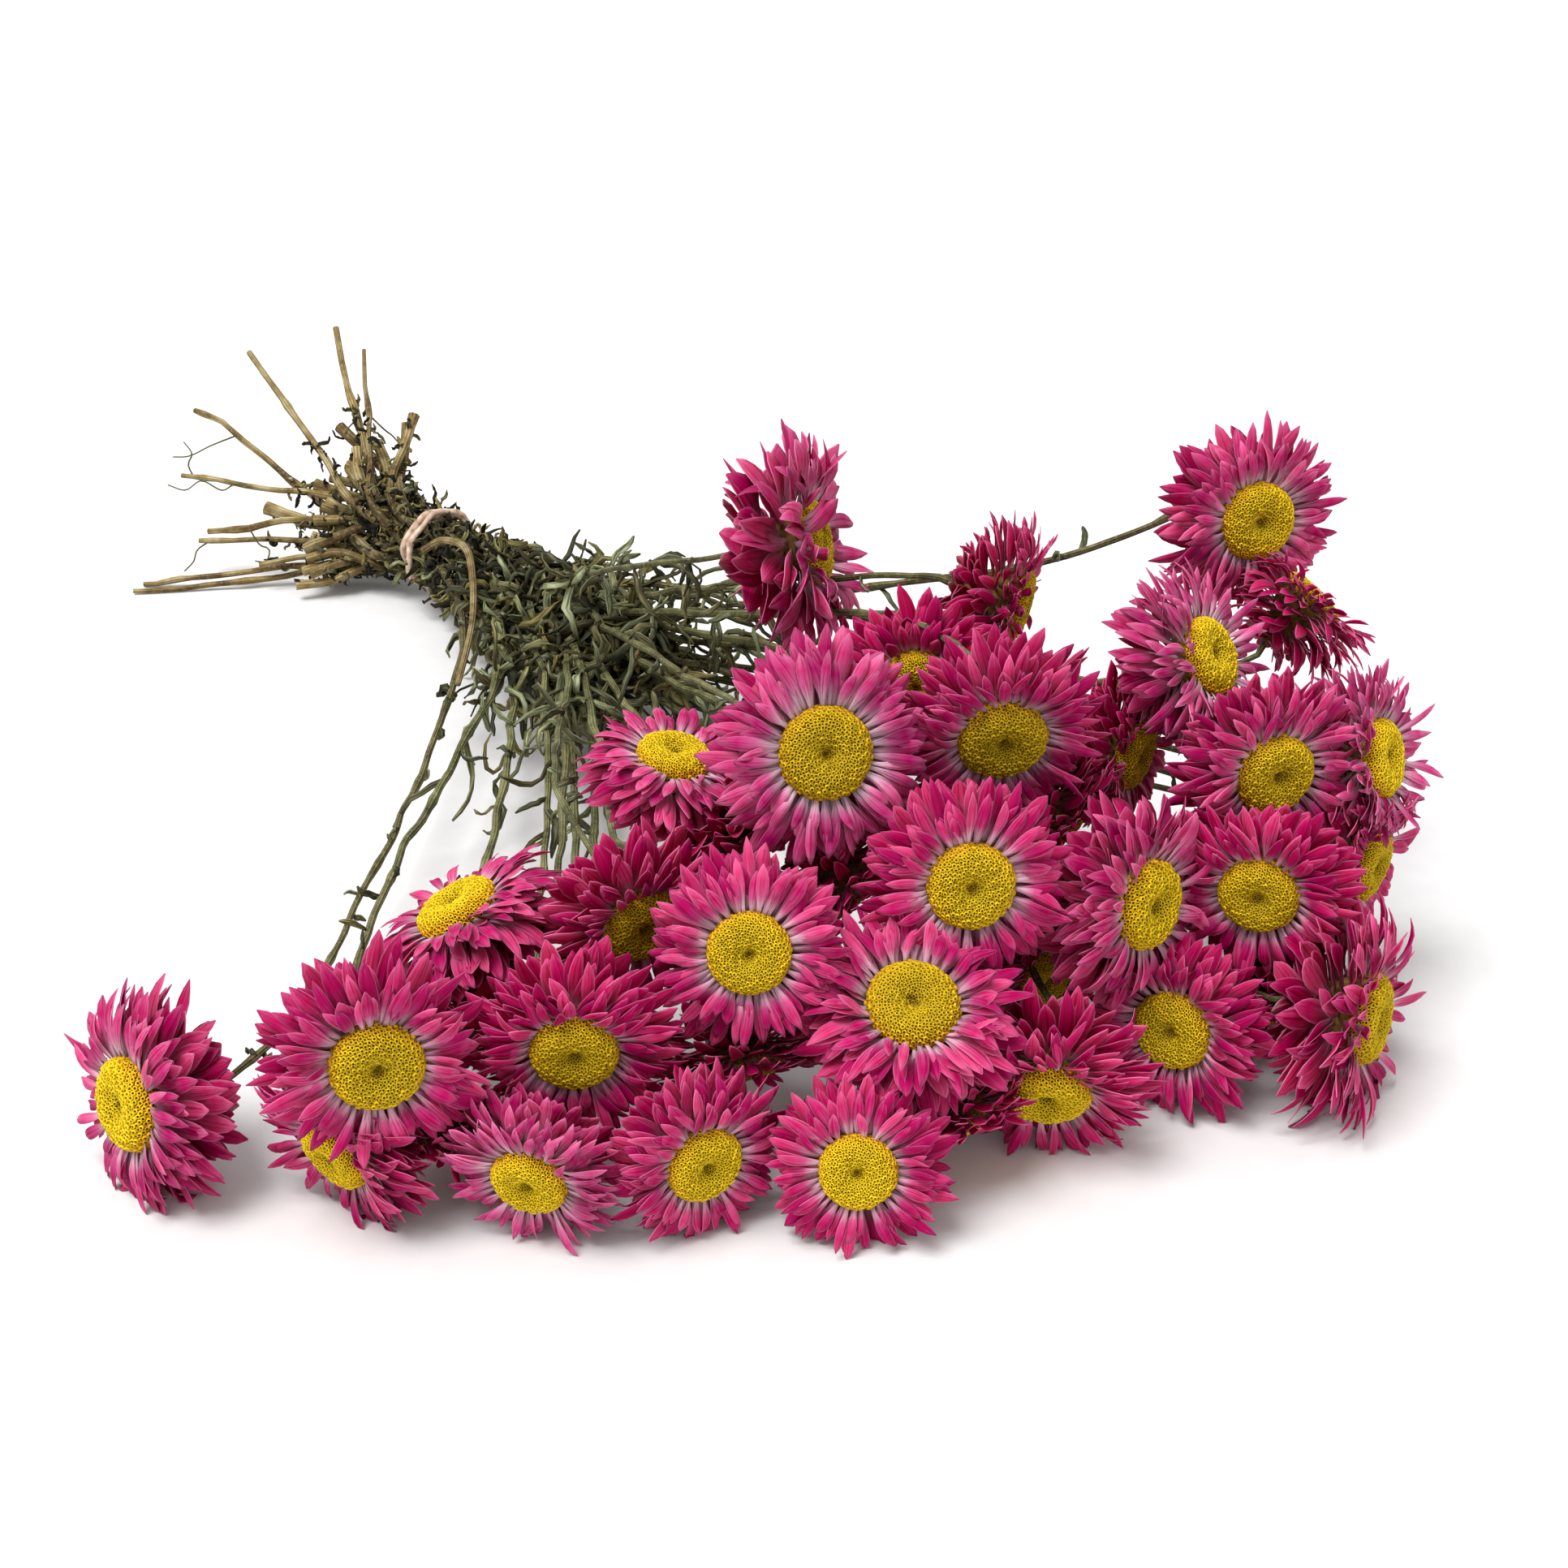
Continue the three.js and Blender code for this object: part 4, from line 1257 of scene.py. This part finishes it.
def leaf_roots(path, random, start, end, spacing):
    """Places along a stem, between two distances ahead of the tie, and the way the stem runs there."""
    ahead = ahead_of_tie(path)[::-1]
    line = path[::-1]
    low = max(start, ahead[0] + CLEAR_OF_CUT)
    high = min(end, ahead[-1] - CLEAR_OF_HEAD)
    count = max(0, int((high - low) / spacing))
    wanted = random.uniform(low, high, count)
    places, further = (
        np.column_stack([np.interp(at, ahead, line[:, axis]) for axis in range(3)])
        for at in (wanted, wanted + 2 * MM)
    )
    onward = further - places
    return places, onward / np.linalg.norm(onward, axis=1)[:, None]


print("one leaf:", len(leaf["points"]), "corners,", len(leaf["start"]), "faces")

# %% [markdown]
# The leaves' finish: matt and grey-green where they kept their colour, olive-brown where they didn't,
# and near black on some leaves, partly shrivelled ones and partly painted shade for the hollows of the
# leaf mass. Streaks run along them, as their veins do.

# %% The leaves' finish: dried leaf
def dried_leaf():
    """Dried herb leaf: matt grey-green with fine streaks, brown patches, and near-black leaves that are
    partly shrivelled and partly painted shade.
    """
    material, tree, out = new_material("dried_leaf")
    place, chance = map_numbers(tree)
    dark = chance["X"]
    luck = chance["Y"]
    across = maths(tree, "FRACT", place["X"])
    streak_place = node(
        tree,
        "ShaderNodeCombineXYZ",
        [
            (maths(tree, "MULTIPLY_ADD", across, 5.0, maths(tree, "MULTIPLY", luck, 60.0)), "X"),
            (maths(tree, "MULTIPLY", place["Y"], 2.5), "Y"),
        ],
    )
    streaks = noise(tree, 1.0, 3.0, streak_place.outputs[0])
    fresh = ramp(tree, streaks, [(0.3, "#25280f"), (0.5, "#6d734e"), (0.68, "#b9bc99")])
    brown = ramp(tree, streaks, [(0.3, "#1f1a0a"), (0.5, "#6a5f30"), (0.68, "#a99c62")])
    colour = mixed(tree, value_ramp(tree, maths(tree, "ADD", luck, dark), 0.55, 1.15), fresh, brown)
    # Painted shade: a share of the leaves, more in the darker zones, is made nearly black, partly as
    # shrivelled leaves and partly for the shade in the hollows of the leaf mass.
    picked = maths(tree, "FRACT", maths(tree, "MULTIPLY", luck, 7.0))
    shrivelled_and_shade = value_ramp(tree, picked, 0.8, 0.35)
    shrivelled_and_shade = maths(tree, "MULTIPLY", shrivelled_and_shade, maths(tree, "ADD", dark, 0.4))
    colour = mixed(tree, shrivelled_and_shade, colour, "#0f0d06")
    bump = node(tree, "ShaderNodeBump", [(streaks, "Height")], in_Strength=0.7, in_Distance=0.0003)
    blade = node(
        tree,
        "ShaderNodeBsdfPrincipled",
        [(colour, "Base Color"), (bump.outputs[0], "Normal")],
        in_Roughness=0.75,
        in_Specular_IOR_Level=0.25,
    )
    tree.links.new(blade.outputs[0], out.inputs["Surface"])
    return material


leaf_finish = dried_leaf()
print("material:", leaf_finish.name)

# %% [markdown]
# The leaves of each stem are one mesh. Tiny dark curls cover the stems round the tie, longer straps
# follow, and near the heads only a few are left.

# %% Grow the leaves
# Each zone: from and to ahead of the tie, spacing, leaf length and width in mm, how far the leaves stand
# off, how much they droop, how crinkled they are, and how dark: how brown they turn and how many are
# painted near black as shade.
LEAF_ZONES = [
    (-66, -30, 1.8, 6.5, 1.3, 1.1, 0.4, 0.4, 0.55),
    (-30, -6, 1.05, 8, 1.5, 1.1, 0.9, 0.4, 0.6),
    (-6, 45, 0.95, 9.5, 1.6, 1.1, 1.3, 0.38, 0.55),
    (36, 115, 2.3, 17, 2.1, 0.65, 1.0, 0.26, 0.42),
    (105, 185, 8.0, 18, 1.9, 0.5, 0.9, 0.2, 0.15),
    (185, 330, 26.0, 9, 1.5, 0.6, 0.3, 0.2, 0.2),
]
BARE_STEM = "01"  # the stem that lies apart lost its long leaves
BARE_LENGTH, BARE_SPACING = 5, 14

for flower in flowers:
    number = flower["number"]
    random = np.random.default_rng(700 + int(number))
    all_places = []
    all_tones = []
    for start, end, spacing, length, width, stand_off, droop, crinkle, dark in LEAF_ZONES:
        if number == BARE_STEM and start > 0:
            length, spacing = BARE_LENGTH, BARE_SPACING
        roots, onward = leaf_roots(stem_paths[number], random, start * MM, end * MM, spacing * MM)
        if not len(roots):
            continue
        away = random.normal(0, 1, roots.shape)
        away -= (away * onward).sum(axis=1)[:, None] * onward
        away /= np.linalg.norm(away, axis=1)[:, None]
        ways = onward * (1.2 - stand_off) + away * stand_off
        ways /= np.linalg.norm(ways, axis=1)[:, None]
        lengths = length * MM * random.uniform(0.6, 1.35, len(roots))
        widths = width * MM * random.uniform(0.7, 1.3, len(roots))
        all_places.append(leaf_places(roots, ways, lengths, widths, random, droop, crinkle))
        all_tones.append(np.column_stack([np.full(len(roots), dark), random.uniform(0, 1, len(roots))]))
    places = lay_on_surface(np.vstack(all_places))
    mesh = stamped("leaves_" + number, leaf, places, np.vstack(all_tones))
    add_piece("leaves_" + number, mesh, leaf_finish, "leaf", "leaf_mass")
print("leaf zones:", len(LEAF_ZONES))

# %% [markdown]
# A bunch is never neat. One stalk bends over the leaves just ahead of the tie before it goes down among
# them, and a few hair-thin tendrils cling to the cut ends. Each is a short line of listed points.

# %% The bent stalk and the tendrils
BENT_STALK = [
    (-126, 30, 23), (-114, 31, 30), (-96, 30, 34), (-79, 24, 32), (-63, 16, 27), (-51, 8, 23), (-36, -2, 21)
]
BENT_RADIUS = 1.25 * MM
# Each tendril: the stem it clings to, how far from the cut end in mm, and its points from there in mm.
TENDRILS = [
    ("14", 30, [(-4, -6, 1), (-9, -9, -2), (-13, -14, 1), (-18, -18, -3), (-23, -22, -2)]),
    ("14", 4, [(-4, 0, 3), (-5, 2, 6), (-9, 1, 9)]),
    ("07", 20, [(-6, -7, -4), (-11, -13, -8), (-13, -18, -8)]),
    ("15", 2, [(-2, -4, -3), (2, -7, -5), (1, -10, -8)]),
    ("23", 12, [(5, 1, -4), (8, 3, -5), (10, 1, -8), (8, -2, -8)]),
    ("02", 30, [(6, -2, -4), (8, -6, -7), (13, -3, -10), (20, -3, -14), (26, -4, -18)]),
    ("01", 25, [(2, 4, -5), (0, 8, -9), (5, 9, -13), (8, 6, -17)]),
]
TENDRIL_RADIUS = 0.3 * MM
TENDRIL_STEP = 1.5 * MM
TENDRIL_SIDES = 6
STRAW_PART = -0.08  # metres from the tie: behind it stalks are straw-coloured
GREEN_PART = 0.2  # and well ahead of it they are green
OLD = 0.9  # how weathered, from 0 to 1
FRESH = 0.2


def loose_bit(name, points, radius, step, sides, ahead, age):
    """A stalk or tendril through the points, thinner towards its end."""
    path = smooth_path(points, step)
    radii = radius * np.linspace(1.0, 0.7, len(path))
    path[:, 2] = np.maximum(path[:, 2], radii + CLEAR_OF_SURFACE)
    finish_stalk(bevelled(name, path, radii, sides), path, np.full(len(path), ahead), age)


loose_bit("bent_stalk", np.array(BENT_STALK) * MM, BENT_RADIUS, STEM_STEP, STEM_SIDES, STRAW_PART, OLD)
for place, (number, from_end, points) in enumerate(TENDRILS):
    length = lengths_along(stem_paths[number])
    root = stem_paths[number][np.abs(length[-1] - length - from_end * MM).argmin()]
    points = root + np.array([(0, 0, 0)] + points) * MM
    name = "tendril_%d" % (place + 1)
    loose_bit(name, points, TENDRIL_RADIUS, TENDRIL_STEP, TENDRIL_SIDES, GREEN_PART, FRESH)
print("tendrils:", len(TENDRILS))

# %% [markdown]
# The tie is a soft narrow band wound three times. Each turn is a torus with an uneven course, because
# it lies on uneven stems.

# %% Tie
BAND_RADIUS = 0.95 * MM
BAND_TURNS = 3
TURN_PITCH = 1.5 * MM
TURN_SLANT = 0.9 * MM
BAND_CLEAR = 0.6 * MM  # how far outside the frame's ring the band lies


def soft_band():
    """Soft rubber band gone matt: pinkish beige, with a faint mottle."""
    material, tree, out = new_material("soft_rubber_band")
    mottle = noise(tree, 400.0, 4.0)
    colour = ramp(tree, mottle, [(0.3, "#8f7560"), (0.5, "#c9ab94"), (0.7, "#e6d3c0")])
    bump = node(tree, "ShaderNodeBump", [(mottle, "Height")], in_Strength=0.5, in_Distance=0.0003)
    band = node(
        tree,
        "ShaderNodeBsdfPrincipled",
        [(colour, "Base Color"), (bump.outputs[0], "Normal")],
        in_Roughness=0.65,
        in_IOR=1.5,
    )
    tree.links.new(band.outputs[0], out.inputs["Surface"])
    return material


def way_through_tie(path):
    """The way a stem runs where it is tied."""
    near = np.linalg.norm(path - TIE, axis=1).argmin()
    return path[near - 2] - path[min(len(path) - 1, near + 2)]


def make_turn(turn, forward, side, over):
    """One turn of the band round the stems."""
    deselect()
    radius = (tie_high[2] - tie_low[2]) / 2 + BAND_CLEAR
    bpy.ops.mesh.primitive_torus_add(
        major_radius=radius, minor_radius=BAND_RADIUS, major_segments=72, minor_segments=10
    )
    ring = bpy.context.object
    shape = np.empty(len(ring.data.vertices) * 3)
    ring.data.vertices.foreach_get("co", shape)
    shape = shape.reshape(-1, 3)
    angle = np.arctan2(shape[:, 1], shape[:, 0])
    course = 1 + 0.05 * np.sin(3 * angle + turn * 2) + 0.03 * np.sin(7 * angle + turn)
    shift = (turn - BAND_TURNS // 2) * TURN_PITCH + TURN_SLANT * np.sin(angle + turn * 1.7)
    placed = (
        TIE
        + (shape[:, 0] * course)[:, None] * side
        + (shape[:, 1] * course)[:, None] * over
        + (shape[:, 2] + shift)[:, None] * forward
    )
    ring.data.vertices.foreach_set("co", placed.ravel())
    ring.data.update()
    return ring


def make_tie():
    """The whole band as one piece."""
    forward = unit(np.mean([way_through_tie(path) for path in stem_paths.values()], axis=0))
    side = unit(np.cross(UP, forward))
    over = np.cross(forward, side)
    turns = [make_turn(turn, forward, side, over) for turn in range(BAND_TURNS)]
    deselect()
    for ring in turns:
        ring.select_set(True)
    bpy.context.view_layer.objects.active = turns[0]
    bpy.ops.object.join()
    band = bpy.context.object
    band.name = "tie_band_turns"
    band.data.shade_smooth()
    band.data.materials.append(soft_band())
    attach(band, "root")
    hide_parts("tie_band")
    return band


make_tie()
print("turns of the band:", BAND_TURNS)
